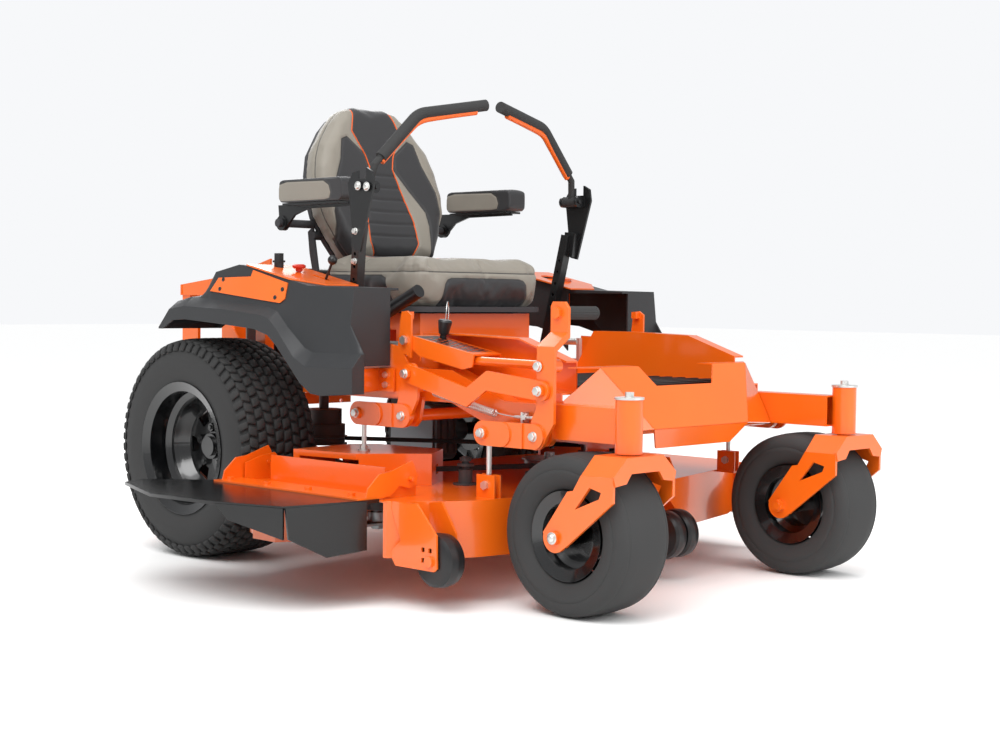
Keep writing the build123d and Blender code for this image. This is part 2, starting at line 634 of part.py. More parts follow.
# ---- deck lift ----------------------------------------------------------------------------------
def shifted(centre, offset):
    return (centre[0] + offset[0], centre[1] + offset[1])


REAR_LINK_PIN = shifted(REAR_SHAFT, LINK_OFFSET)
FRONT_LINK_PIN = shifted(FRONT_SHAFT, LINK_OFFSET)
REAR_HANGER_PIN = shifted(REAR_SHAFT, (CRANK_R, 0))
FRONT_HANGER_PIN = shifted(FRONT_SHAFT, (CRANK_R, 0))
OUT = ARM_X + ARM_T           # outer face of the upright plates
ROD_PIN = shifted(FRONT_SHAFT, (-9, 154))
ROD_X = -436.0 + 24


def hanger_arm(shaft):
    """The jogged arm from a lift shaft back to its hanger pin."""
    y, z = shaft
    arm = stadium_x((y, z), (y + 62, z), 28, -OUT - 7, -OUT + 0.5)
    arm += prism_x([(y + 30, z - 28), (y + CRANK_R - 40, z - 28), (y + CRANK_R - 40, z + 28),
        (y + 30, z + 28)], -OUT - 11, -OUT - 4)
    arm += stadium_x((y + 92, z), (y + CRANK_R, z), 28, -OUT - 15, -OUT - 8)
    pin = rod_x(-OUT - 21, -ARM_X + 5, y + CRANK_R, z, LIFT_PIN_R)
    return arm + pin + rod_x(-OUT - 21, -OUT - 14, y + CRANK_R, z, 14)


def cross_shaft(shaft):
    """A lift shaft with a hanger arm at each end."""
    return rod_x(-ARM_X - 1, OUT + 5, *shaft, LIFT_SHAFT_R) + hanger_arm(shaft) + flip(hanger_arm(shaft))


def link_pin(place):
    """The pin and its head that the link bar turns on."""
    head = hexagon(Plane(origin=(-OUT - 10, *place), z_dir=(-1, 0, 0)), 24, 8)
    return rod_x(-OUT - 13, -ARM_X + 2, *place, LIFT_PIN_R) + head


def rear_lift_crank():
    y, z = REAR_SHAFT
    py, pz = REAR_LINK_PIN
    plate = prism_x([(y - 46, z + 40), (y - 50, pz), (py + 22, pz), (y + 22, z + 30), (y + 24, z),
        (y - 24, z)], -OUT, -ARM_X)
    plate += rod_x(-OUT, -ARM_X, py, pz, 25) + rod_x(-OUT, -ARM_X, y, z, 27)
    spring_post = rod_x(-ARM_X - 1, -434, -745, 466, 5)
    return plate + cross_shaft(REAR_SHAFT) + link_pin(REAR_LINK_PIN) + spring_post


PEDAL_X = -410.0
PEDAL = (-1152.0, 653.0)      # Y and Z of the foot peg


def front_lift_arm():
    y, z = FRONT_SHAFT
    lower = prism_x([(y - 53, z + 30), (y - 53, 570), (y - 2, 570), (y - 2, z + 62), (y + 10, z + 40),
        (y + 24, z), (y - 26, z - 10)], -OUT, -ARM_X)
    lower += rod_x(-OUT, -ARM_X, y, z, 30)
    jog = prism_y([(-OUT, 569), (-ARM_X, 569), (PEDAL_X, 600), (PEDAL_X, 611), (PEDAL_X - ARM_T, 611),
        (-OUT, 580)], y - 53, y - 2)
    upper = prism_x([(y - 53, 603), (y - 53, 664), (y - 42, 678), (y - 8, 678), (y - 2, 668), (y - 2, 603)],
        PEDAL_X - ARM_T, PEDAL_X)
    rod_pin = rod_x(-OUT - 3, ROD_X + 13, *ROD_PIN, 8)
    peg_bolt = rod_x(PEDAL_X - 16, -292, *PEDAL, 9)
    body = lower + jog + upper + cross_shaft(FRONT_SHAFT) + link_pin(FRONT_LINK_PIN)
    return body + rod_pin + peg_bolt + hexagon(Plane(origin=(PEDAL_X - ARM_T, *PEDAL), z_dir=(-1, 0, 0)),
        24, 9)


def foot_peg():
    """The ribbed rubber sleeve on the pedal's bolt."""
    y, z = PEDAL
    sleeve = rod_x(PEDAL_X + 0.3, -294, y, z, 15) - rod_x(PEDAL_X - 1, -290, y, z, 9.02)
    for index in range(16):
        angle = 2 * pi * index / 16
        sleeve -= rod_x(PEDAL_X + 6, -300, y + 16.4 * cos(angle), z + 16.4 * sin(angle), 2.2)
    return sleeve


def link_bar():
    """The cranked bar between the two upright plates, with a running hole at each pin."""
    (ya, za), (yb, zb) = REAR_LINK_PIN, FRONT_LINK_PIN
    half = 22
    centre = [(ya, za), (ya - 196, za - 46), (ya - 258, za - 6), (yb, zb)]
    top = [(y, z + half) for y, z in centre]
    under = [(y, z - half) for y, z in centre[::-1]]
    bar = prism_x(top + under, -OUT - 9, -OUT - 1)
    bar += rod_x(-OUT - 9, -OUT - 1, ya, za, half) + rod_x(-OUT - 9, -OUT - 1, yb, zb, half)
    for pin in (REAR_LINK_PIN, FRONT_LINK_PIN):
        bar -= rod_x(-OUT - 20, -OUT + 5, *pin, LIFT_PIN_R + RUNNING_FIT)
    return bar


def lift_rod():
    """The round bar that slides under the height plate; its eye turns on the front arm."""
    y, z = ROD_PIN
    eye = rod_x(ROD_X - 12, ROD_X + 12, y, z, 15)
    bar = rod((ROD_X, y + 11, z), (ROD_X, -760, z + 6), 10)
    return eye + bar - rod_x(ROD_X - 30, ROD_X + 30, y, z, 8 + RUNNING_FIT)


HEIGHT_SLOPE = 10.3
HEIGHT_REAR = (-694.0, 594.0)
HEIGHT_LENGTH = 218.0
HEIGHT_X = (-432.5, -340.0)
HOLE_PITCH = 18.0
HOLE_R = 5.2


def hole_place(row, column):
    """X and distance along the plate of one of its staggered holes."""
    along = -HEIGHT_LENGTH + 30 + HOLE_PITCH * column + (HOLE_PITCH / 2 if row % 2 else 0)
    return (HEIGHT_X[0] + 20 + 19 * row, along)


def tilted(shape):
    """Lay a shape drawn along -Y from zero onto the height plate's slope."""
    return Pos(0, *HEIGHT_REAR) * Rot(HEIGHT_SLOPE, 0, 0) * shape


def height_plate():
    """The perforated cutting-height plate: a channel open below, fixed to the cheek and the pan."""
    x0, x1 = HEIGHT_X
    long = HEIGHT_LENGTH
    top = block(x0, x1, -long, 0, -SHEET, 0)
    for row in range(4):
        for column in range(9):
            top -= rod_z(-9, 9, *hole_place(row, column), HOLE_R)
    outer = prism_x([(0, 0), (0, -24), (-40, -42), (-long + 30, -42), (-long, -30), (-long, 0)], x0,
        x0 + SHEET)
    inner = prism_x([(0, 0), (0, -24), (-60, -32), (-long, -22), (-long, 0)], x1 - SHEET, x1)
    plate = tilted(top + outer + inner)
    shelf = block(-372, -302, -790, -690, 560, 564) + block(-372, -340.5, -790, -786, 470.5, 564)
    post = block(-344, -340, -790, -700, 474.2, 580)
    return plate + (post - tilted(block(-500, -200, -400, 60, -3.9, 200)))


PIN_HOLE = (3, 8)             # row and column of the hole that the height pin stands in


def pin_place():
    row, column = PIN_HOLE
    return hole_place(row, column)


def height_pin():
    """The pull pin and its tapered black head, square to the plate."""
    x, y = pin_place()
    head = Pos(x, y, 0) * revolve(outline([(0, 0, 0.3), (8, 0, 0.3), (8, 0, 8), (12, 0, 10), (17, 0, 40),
        (14, 0, 44), (0, 0, 44)]), Axis.Z, 360)
    return tilted(head + rod_z(-22, 1, x, y, HOLE_R - RUNNING_FIT))


def lift_spring():
    """Outer shape of the assist spring between the rear crank and its eye bolt."""
    coil = rod((-439, -788, 462), (-439, -985, 424), 9.5)
    tail = rod((-439, -984.5, 424), (-439, -1045.7, 420), 4)
    head = rod((-439, -750.4, 466.6), (-439, -789, 462), 2.5)
    return coil + tail + head


LANYARD = [(-355.5, -736.3, 631.0), (-354.5, -737.5, 650.0), (-349.0, -734.0, 668.0),
    (-341.0, -729.0, 677.0),
           (-334.0, -725.0, 666.0), (-331.0, -722.0, 644.0), (-332.0, -719.0, 618.0),
           (-344.0, -716.0, 590.8)]


# ---- deck ---------------------------------------------------------------------------------------
DECK_OUTLINE = [(-640, -905), (-586, -967), (-519, -1004), (-427, -1024), (174, -1021), (526, -932),
    (654, -868),
                (695, -780), (695, -520), (655, -410), (560, -340), (300, -322), (-300, -322), (-560, -322),
                (-640, -352), (-672, -420), (-672, -880)]
MOUTH_Y = (-868.0, -545.0)
FLAP_PIVOT = (-580.0, 276.0)  # X and Z of the discharge chute's hinge
TAB_Y = (-345.0, -845.0)
ROLLER_R = 60.0
SIDE_ROLLER = (-632.0, -1009.0, 114.0)
CENTRE_ROLLER = (70.0, -1092.0, 114.0)


def inset(points, amount):
    """An outline moved inwards by an equal amount on every edge."""
    return offset(outline([(x, y, 0) for x, y in points]), amount=-amount, kind=Kind.INTERSECTION)


def deck_pan():
    floor, top, wall = DECK_SKIRT_Z, DECK_TOP_Z, DECK_WALL
    pan = prism_z(DECK_OUTLINE, floor, top)
    inner = Pos(0, 0, floor - 1) * inset(DECK_OUTLINE, wall)
    pan -= extrude(inner, amount=top - wall - floor + 1, dir=(0, 0, 1))
    pan -= block(-760, -640, MOUTH_Y[0], MOUTH_Y[1], floor - 1, top - wall)
    for x, y in ((-SIDE_SPINDLE[0], SIDE_SPINDLE[1]), CENTRE_SPINDLE, SIDE_SPINDLE):
        pan -= rod_z(floor, top + 1, x, y, 34)
    flare = prism_z([(-671, -425), (-671, MOUTH_Y[1] + 1), (-704, MOUTH_Y[1] + 16), (-700, -440)], floor,
        200)
    return pan + flare


def roller_plates():
    """The right-hand pair of plates that carry the outer anti-scalp wheel."""
    shape = [(-880, 232), (-967, 236), (-1029, 172), (-1031, 100), (-1022, 93), (-900, 93), (-880, 120),
        (-917, 150)]
    x, y, z = SIDE_ROLLER
    outer = prism_x(shape, x - 32, x - 27)
    outer += block(x - 32, x - 10, -935, -885, DECK_TOP_Z - 6, DECK_TOP_Z)
    inner = prism_x([(-940, 232), (-985, 236), (-1029, 172), (-1031, 100), (-960, 98)], x + 27, x + 32)
    for u, v in ((-1010, 138), (-988, 138), (-988, 115)):
        outer -= block(x - 40, x - 20, u - 5, u + 5, v - 5, v + 5)
    return outer + inner + rod_x(x - 38, x + 36, y, z, 8) + rod_x(x - 38, x - 31, y, z, 12)


def centre_roller_bracket():
    x, y, z = CENTRE_ROLLER
    arm = [(-1000, 231), (-1012, 231), (y - 16, z + 10), (y - 16, z - 14), (y + 16, z - 14),
        (y + 30, z + 20), (-1000, 190)]
    ears = prism_x(arm, x - 54, x - 49) + prism_x(arm, x + 49, x + 54)
    return ears + rod_x(x - 58, x + 58, y, z, 8)


HANGER_X = -455.0
HANGER_BOLT_Z = DECK_TOP_Z + 28
COVER_TOP_Z = 311.0


def hanger_brackets():
    """Upright tabs on the deck that the hanger rods bolt to."""
    y = FRONT_HANGER_PIN[0]
    tabs = block(-468, -442, y - 28, -925, DECK_TOP_Z - DECK_WALL, DECK_TOP_Z)
    for x in (-464, -446):
        tabs += block(x - 2, x + 2, y - 28, y + 28, DECK_TOP_Z - 1, DECK_TOP_Z + 52)
    return tabs - rod_x(-480, -430, y, HANGER_BOLT_Z, 6.3)


def chute_wall():
    """The standing wall and two tabs that the discharge chute hinges on."""
    wall = block(-606, -602, -800, -390, DECK_TOP_Z - 1, 298)
    tab = [(-650, DECK_TOP_Z - 1), (-650, 278), (-606, 292), (-560, 299), (-553, 292),
        (-553, DECK_TOP_Z - 1)]
    for y in TAB_Y:
        wall += prism_y(tab, y - 2, y + 2)
    wall += block(-606, -560, -392, -388, DECK_TOP_Z - 1, 290) + block(-606, -560, -802, -798,
        DECK_TOP_Z - 1, 290)
    return wall + rod_y(TAB_Y[0] - 3, TAB_Y[0] + 22, *FLAP_PIVOT, 5) + rod_y(TAB_Y[1] - 22, TAB_Y[1] + 3,
        *FLAP_PIVOT, 5)


def front_brackets():
    """Stiffening ribs along the middle of the deck's front edge."""
    ribs = Part()
    for x in (-150, -95, -40, 15, 180):
        ribs += prism_x([(-1012, DECK_TOP_Z - 1), (-1012, 262), (-998, 288), (-960, 288), (-940, 262),
            (-940, DECK_TOP_Z - 1)], x, x + 4)
    return ribs


def deck_shell():
    half = roller_plates() + hanger_brackets()
    left = flip(hanger_brackets())
    other = Pos(4, 62, 0) * flip(roller_plates())
    shell = deck_pan() + half + left + other + centre_roller_bracket() + chute_wall() + front_brackets()
    crease = block(-300, 160, -1031, -1022, DECK_SKIRT_Z, DECK_SKIRT_Z + 26)
    return shell + crease


def belt_cover(points):
    """A low sheet lid over a belt pulley, open below and notched on its outer side."""
    lid = prism_z(points, DECK_TOP_Z, COVER_TOP_Z)
    hollow = offset(outline([(x, y, 0) for x, y in points]), amount=-3, kind=Kind.INTERSECTION)
    return lid - extrude(Pos(0, 0, DECK_TOP_Z) * hollow, amount=COVER_TOP_Z - DECK_TOP_Z - 3, dir=(0, 0, 1))


COVER = [(-554, -411), (-353, -398), (-302, -440), (-273, -647), (-385, -724), (-524, -608)]


def belt_covers():
    cover = belt_cover(COVER)
    cover -= block(-600, -470, -612, -430, 262, 296)
    cover -= block(-330, -240, -640, -450, DECK_TOP_Z, 290)
    return both_sides(cover - belt_run(6))


def spindle_housings():
    """Flanged bearing housings, one at each blade, and the belt's idler post."""
    parts = []
    for x, y in ((-SIDE_SPINDLE[0], SIDE_SPINDLE[1]), CENTRE_SPINDLE, SIDE_SPINDLE):
        body = rod_z(DECK_TOP_Z + 0.2, DECK_TOP_Z + 8, x, y, 62) + rod_z(168, DECK_TOP_Z + 8, x, y, 33)
        parts.append(body - rod_z(160, DECK_TOP_Z + 9, x, y, 12.7 + RUNNING_FIT))
    x, y = IDLER
    post = rod_z(DECK_TOP_Z + 0.2, DECK_TOP_Z + 4, x, y, 30) + rod_z(DECK_TOP_Z + 3, 272, x, y, 17)
    post += rod_z(271, 303, x, y, 9) + rod_z(280, 286, x, y, 20) + rod_z(292, 300, x, y, 14)
    parts.append(post)
    return group(*parts)


IDLER = (-312.0, -765.0)


def blade_spindle(place, turn):
    """One mower blade with its lifted tips, the bolt below it and the spindle and pulley above."""
    x, y = place
    shaft = rod_z(BLADE_Z + 6.2, BELT_Z + 26, x, y, 12.7)
    shaft += rod_z(BLADE_Z + 6.2, BLADE_Z + 30, x, y, 24)
    shaft += grooved(place, PULLEY_R)
    half = prism_z([(0, -31), (BLADE_R - 8, -31), (BLADE_R, -22), (BLADE_R, 31), (0, 31)], 0, 6)
    wing = prism_x([(14, 5), (31, 5), (39, 26), (34, 28)], 140, BLADE_R - 2)
    half += wing
    blade = half + Rot(0, 0, 180) * half
    blade += hexagon(Plane(origin=(0, 0, 0), z_dir=(0, 0, -1)), 26, 12)
    return group(Pos(x, y, BLADE_Z) * Rot(0, 0, turn) * blade, shaft)


def belt_run(grow=0.0):
    """The belt's closed run round its four pulleys, or the room it needs when grown."""
    left, right = SIDE_SPINDLE, (-SIDE_SPINDLE[0], SIDE_SPINDLE[1])
    wheels = [(CRANK_XY, PTO_R), (right, PULLEY_R), (CENTRE_SPINDLE, PULLEY_R), (left, PULLEY_R)]
    gap = 0.5 + BELT_T + grow
    discs = [Pos(x, y, 0) * Circle(r + gap) for (x, y), r in wheels]
    hull = make_hull(ShapeList([edge for disc in discs for edge in disc.edges()]))
    band = hull - offset(hull, amount=-BELT_T - 2 * grow)
    half = BELT_HALF + grow
    return extrude(Pos(0, 0, BELT_Z - half) * band, amount=2 * half, dir=(0, 0, 1))


def side_roller():
    """A solid tapered wheel on its bolt."""
    profile = [(-24, 8.06), (-24, 48), (-19, ROLLER_R - 3), (0, ROLLER_R), (19, ROLLER_R - 3), (24, 48),
        (24, 8.06)]
    return turned_x(profile, SIDE_ROLLER)


def centre_roller():
    x, y, z = CENTRE_ROLLER
    profile = [(-20, 8.06), (-20, 52), (-14, ROLLER_R - 2), (0, ROLLER_R), (14, ROLLER_R - 2), (20, 52),
        (20, 8.06)]
    return group(turned_x(profile, (x - 24, y, z)), turned_x(profile, (x + 24, y, z)))


STRIP_Z = 238.0               # underside of the hinged strip, on the chute's plate


def chute_bracket():
    """The hinged strip above the discharge mouth, with a winged ear at each end."""
    ear = [(-712, 240), (-706, 262), (-672, 292), (-640, 295), (-573, 316), (-566, 305), (-556, 282),
        (-560, 262), (-580, 254), (-612, 262), (-640, 240)]
    strip = block(-736, -654, TAB_Y[1] - 11, TAB_Y[0] + 11, STRIP_Z, STRIP_Z + 4)
    for y in (-360, -500, -650, -800):
        head = Plane(origin=(-705, y, STRIP_Z + 3.9), z_dir=(0, 0, 1))
        strip += hexagon(head, 16, 7)
    for y in (TAB_Y[0] + 7, TAB_Y[1] - 11):
        strip += prism_y(ear, y, y + 4) - rod_y(y - 1, y + 5, *FLAP_PIVOT, 5 + RUNNING_FIT)
    return strip


FLAP_OUTLINE = [(-678, -322), (-714, -313), (-838, -176), (-901, -206), (-990, -440), (-973, -651),
    (-918, -824), (-712, -862), (-678, -862)]


def chute_flap():
    """The moulded discharge chute with its turned-down front wall."""
    plate = prism_z(FLAP_OUTLINE, 230.4, STRIP_Z)
    wall = upright((-915, -826), (-714, -860), [(0, 234), (1, 234), (1, 128), (0.5, 120), (0.04, 166)], 6)
    side = upright((-917, -824), (-970, -655), [(0, 234), (1, 234), (0.8, 200), (0, 166)], 6)
    return plate + wall + side


def deck_hangers():
    """Four threaded hanger rods, each with a flat eye on its crank pin."""
    rods = []
    x = HANGER_X
    for y, z in (REAR_HANGER_PIN, FRONT_HANGER_PIN):
        bottom = COVER_TOP_Z if y > BEAM_FRONT_Y - 60 else DECK_TOP_Z + 22
        piece = rod_x(x - 7, x + 7, y, z, 15) + rod_z(bottom, z - 9, x, y, 6)
        if bottom == COVER_TOP_Z:
            piece += rod_z(bottom, bottom + 4, x, y,
                15) + hexagon(Plane(origin=(x, y, bottom + 3), z_dir=(0, 0, 1)), 18, 10)
        else:
            piece += block(x - 6.8, x + 6.8, y - 12, y + 12, DECK_TOP_Z + 10, DECK_TOP_Z + 44)
            piece += rod_x(x - 17, x + 17, y, HANGER_BOLT_Z, 6)
            for side in (-1, 1):
                head = Plane(origin=(x + side * 11.3, y, HANGER_BOLT_Z), z_dir=(side, 0, 0))
                piece += hexagon(head, 18, 7)
        piece -= rod_x(x - 20, x + 20, y, z, LIFT_PIN_R + RUNNING_FIT)
        rods += [piece, flip(piece)]
    return group(*rods)


# ---- controls -----------------------------------------------------------------------------------
LEVER_TOP = (388.0, -464.0, 862.0)


def lever_post():
    """The square tube, its tapered adjusting plate and the ears of the swing-out pivot."""
    x, y, z = (-LEVER_PIVOT[0], LEVER_PIVOT[1], LEVER_PIVOT[2])
    top = (-LEVER_TOP[0], LEVER_TOP[1], LEVER_TOP[2])
    axis = Vector(*top) - Vector(x, y, z)
    plane = Plane(origin=(x, y, z), x_dir=(1, 0, -axis.X / axis.Z), z_dir=axis)
    tube = extrude(plane * Rectangle(LEVER_TUBE, LEVER_TUBE), amount=axis.length)
    tube = tube - block(x - 60, x + 60, y - 60, y + 60, z - 60, z + 14)
    tube += rod_x(x - 14, x + 14, y, z, 15) + block(x - 12, x + 12, y - 12, y + 11, z + 2, z + 22)
    for index in range(5):
        spot = plane.origin + axis.normalized() * (190 + 32 * index)
        tube -= rod_x(spot.X - 30, spot.X + 30, spot.Y, spot.Z, 4.5)
    px, py, pz = (-SWING_PIVOT[0], SWING_PIVOT[1], SWING_PIVOT[2])
    plate = prism_x([(-463, 800), (-487, 795), (-536, 958), (-531, 990), (-510, 1001), (-458, 991),
        (-440, 965), (-446, 930)], -409, -403)
    plate -= block(-412, -400, -508, -478, 974, 1010)
    for y0 in (py - 31, py + 23):
        plate += block(-404, px, y0, y0 + 8, pz - 15, pz + 15) + rod_y(y0, y0 + 8, px, pz, 15)
    plate += rod_y(py - 36, py + 36, px, pz, 6)
    link = prism_x([(-448, 808), (-483, 800), (-494, 868), (-456, 872)], -404, -386)
    body = tube + plate + link - rod_x(x - 60, x + 60, y, z, 8 + RUNNING_FIT)
    bolts = []
    for u, v in ((-484, 957), (-516, 954)):
        bolts.append(rod_x(-414, -409.2, u, v, 9))
    return group(body, *bolts)


def handle():
    """The swing-out hand lever: an eye on the pivot, a bent tube and the moulded grip on it."""
    px, py, pz = (-SWING_PIVOT[0], SWING_PIVOT[1], SWING_PIVOT[2])
    start, bend, tip = (-368, -494, 1012), (-233, -508, 1147), (-27, -543, 1184)
    tube = rod_y(py - 22.5, py + 22.5, px, pz, 14) + rod((px + 2, py - 4, pz + 6), start, 9)
    tube += rod(start, bend, 9)
    tube += Pos(*start) * Sphere(9)
    tube -= rod_y(py - 40, py + 40, px, pz, 6 + RUNNING_FIT)
    toward = (Vector(*bend) - Vector(*start)).normalized()
    grip_start = Vector(*start) + toward * 26
    path = FilletPolyline(tuple(grip_start), bend, tip, radius=70)
    grip = sweep(Plane(origin=path @ 0, z_dir=path % 0) * Circle(GRIP_R), path=path)
    tube = tube - grip
    return group(tube, grip)


BRAKE_PIVOT = (-318.0, -330.0, 556.0)


def brake_lever():
    """The parking brake lever and its finger grip, beside the seat."""
    x, y, z = BRAKE_PIVOT
    stem = stadium_x((y, z), (-455, 632), 13, x - 4, x + 4)
    grip = rod((x, -452, 630), (x, -604, 700), 17)
    body = stem + grip + rod_x(x - 9, x + 9, y, z, 16)
    return body - rod_x(x - 20, x + 20, y, z, 8 + RUNNING_FIT)


def brake_stand():
    """The post on the pan that the brake lever turns on."""
    x, y, z = BRAKE_PIVOT
    post = Part()
    for x0 in (x - 16, x + 10):
        post += prism_x([(y - 22, FLOOR_Z - 1), (y + 22, FLOOR_Z - 1), (y + 14, z + 8), (y - 14, z + 8)],
            x0, x0 + 6)
    return post + rod_x(x - 20, x + 20, y, z, 8)


THROTTLE_PIVOT = (-450.0, -390.0, 694.0)


def throttle_lever():
    x, y, z = THROTTLE_PIVOT
    body = rod_x(x - 6, x + 6, y, z, 7) + rod((x, y, z + 2), (x, -430, 768), 3.2) + Pos(x, -432,
        774) * Sphere(12)
    return body - rod_x(x - 20, x + 20, y, z, 4 + RUNNING_FIT)


def pto_knob():
    x, y = -470, -327
    head = revolve(outline([(0, 0, 746), (8, 0, 746), (9, 0, 752), (17, 0, 756), (17, 0, 761), (12, 0, 764),
        (0, 0, 764)]), Axis.Z, 360)
    return Pos(x, y, 0) * head + rod_z(716, 748, x, y, 5)


def ignition_key():
    """The ignition switch's turning block."""
    x, y = -482, -262
    barrel = rod_z(738, 770, x, y, 12)
    return barrel + block(x - 9, x + 9, y - 14, y + 14, 769, 774) + block(x - 6, x + 6, y - 11, y + 11, 773,
        792)


# ---- seat ---------------------------------------------------------------------------------------
BACK_FOOT = (-117.0, 820.0)   # Y and Z of the middle of the backrest, low down


def on_back(shape):
    """Lean a shape drawn upright at the backrest's foot."""
    return Pos(0, *BACK_FOOT) * Rot(-BACK_RECLINE, 0, 0) * shape


BACK_SHAPE = [(-150, -45), (-190, 20), (-222, 90), (-228, 150), (-220, 215), (-200, 275), (-140, 352),
    (-100, 388), (-58, 402)]
BACK_FRONT, BACK_REAR = -56.0, 46.0


def seat_back():
    """The padded backrest as a plain closed solid."""
    shape = BACK_SHAPE + [(-u, v) for u, v in BACK_SHAPE[::-1]]
    pad = prism_y(shape, BACK_FRONT, BACK_REAR - 14 - SOFT_GAP)
    return on_back(fillet(pad.edges().group_by(Axis.Y)[0], 14))


def seat_shell():
    """The seat's pan with its hinge ears, the back's shell and the brackets that join them."""
    z0, z1 = SEAT_BOX_TOP + 4, SEAT_BOX_TOP + 18
    pan = fillet(block(-238, 238, -528, -96, z0, z1).edges().filter_by(Axis.Z), 60)
    shape = [(u * 0.93, v * 0.96 + 4) for u, v in BACK_SHAPE]
    shell = on_back(prism_y(shape + [(-u, v) for u, v in shape[::-1]], BACK_REAR - 14, BACK_REAR))
    posts = Part()
    for side in (-1, 1):
        posts += prism_x([(-130, z0 + 1), (-92, z0 + 1), (-52, 800), (-44, 860), (-62, 872), (-96, 700)],
            side * 200, side * 208)
        posts += rod_x(side * 200, side * 320, ARMREST_PIVOT[0], ARMREST_PIVOT[1], 11)
    posts += rod_x(-208, 208, -66, 850, 9)
    web = block(-208, 208, -64, -52, 838, 862)
    for x0 in (-170, 150):
        posts += block(x0, x0 + 20, -480, -150, SEAT_BOX_TOP + 0.3, z0 + 1)
    return pan + shell + posts + web


ARMREST_PIVOT = (-52.0, 880.0)  # Y and Z


def seat_cushion():
    """The padded seat as a plain closed solid with rounded front corners."""
    z0 = SEAT_BOX_TOP + 18 + SOFT_GAP
    side = [(-540, z0 + 6), (-540, 744), (-520, 772), (-430, 772), (-280, 770), (-175, 786), (-158, 780),
        (-158, z0)]
    pad = prism_x(side, -SEAT_HALF_W, SEAT_HALF_W)
    corners = pad.edges().filter_by(Axis.Z).group_by(Axis.Y)[0]
    return fillet(corners, 90)


def armrest_bracket():
    """The right armrest's arm: an eye on the pivot, a rear cheek and the bar under the pad."""
    y, z = ARMREST_PIVOT
    x0, x1 = -304, -297
    arm = prism_x([(y - 18, z - 10), (y + 10, z - 14), (y + 16, z + 48), (-150, 928), (-330, 928),
        (-330, 918), (-160, 916), (-104, 900)], x0, x1)
    arm += rod_x(x0 - 4, x1 + 4, y, z, 20) + block(-340, -282, -326, -98, 924, 929.6)
    return arm - rod_x(-330, -280, y, z, 11 + RUNNING_FIT)


def armrest_pad():
    pad = block(-345, -277, -343, -84, 930, 992)
    pad = fillet(pad.edges().filter_by(Axis.X), 18)
    return pad


# ---- hardware -----------------------------------------------------------------------------------
def frame_hardware():
    """Zinc caps and bolts of the caster tubes, frame bolts and the two lever dampers."""
    pieces = []
    top = CASTER_TUBE_Z[1]
    for x in (-CASTER_TRACK_HALF, CASTER_TRACK_HALF):
        cap = rod_z(top + 0.2, top + 5, x, CASTER_PIVOT_Y, 32)
        pieces.append(cap + hexagon(Plane(origin=(x, CASTER_PIVOT_Y, top + 4.8), z_dir=(0, 0, 1)), 17, 11))
    x = -RAIL_OUTER_X - 14
    for z in (474, 498):
        for head in (Plane(origin=(x - 9.2, -628, z), z_dir=(-1, 0, 0)),):
            pieces += [hexagon(head, 13, 7), flip(hexagon(head, 13, 7))]
    pieces.append(hexagon(Plane(origin=(x - 0.2, -684, 582), z_dir=(-1, 0, 0)), 19, 9))
    eye_bolt = rod_y(-1150, -1046, -439, 420,
        4) + hexagon(Plane(origin=(-439, -1077, 420), z_dir=(0, -1, 0)), 16, 7)
    tab = block(-446, -RAIL_OUTER_X - 0.2, -1076, -1070, 408, 432)
    pieces.append(eye_bolt - block(-450, -400, -1076.1, -1069.9, 400, 440))
    damper = rod_y(-560, -450, -330, 566, 9) + rod_y(-452, -436, -330, 566, 4)
    damper += block(-336, -324, -568, -558, 470.2 + 4, 576)
    pieces += [damper, flip(damper)]
    pieces.append(tab)
    return group(*pieces)


# ---- build --------------------------------------------------------------------------------------
def lanyard():
    """The wire loop that ties the height pin to its plate."""
    radii = []
    points = [Vector(*p) for p in LANYARD]
    for before, here, after in zip(points, points[1:], points[2:]):
        turn = (here - before).get_angle(after - here)
        run = min((here - before).length, (after - here).length)
        radii.append(0.45 * run / tan(radians(turn) / 2))
    path = FilletPolyline(*LANYARD, radius=radii)
    return sweep(Plane(origin=path @ 0, z_dir=path % 0) * Circle(1.2), path=path)


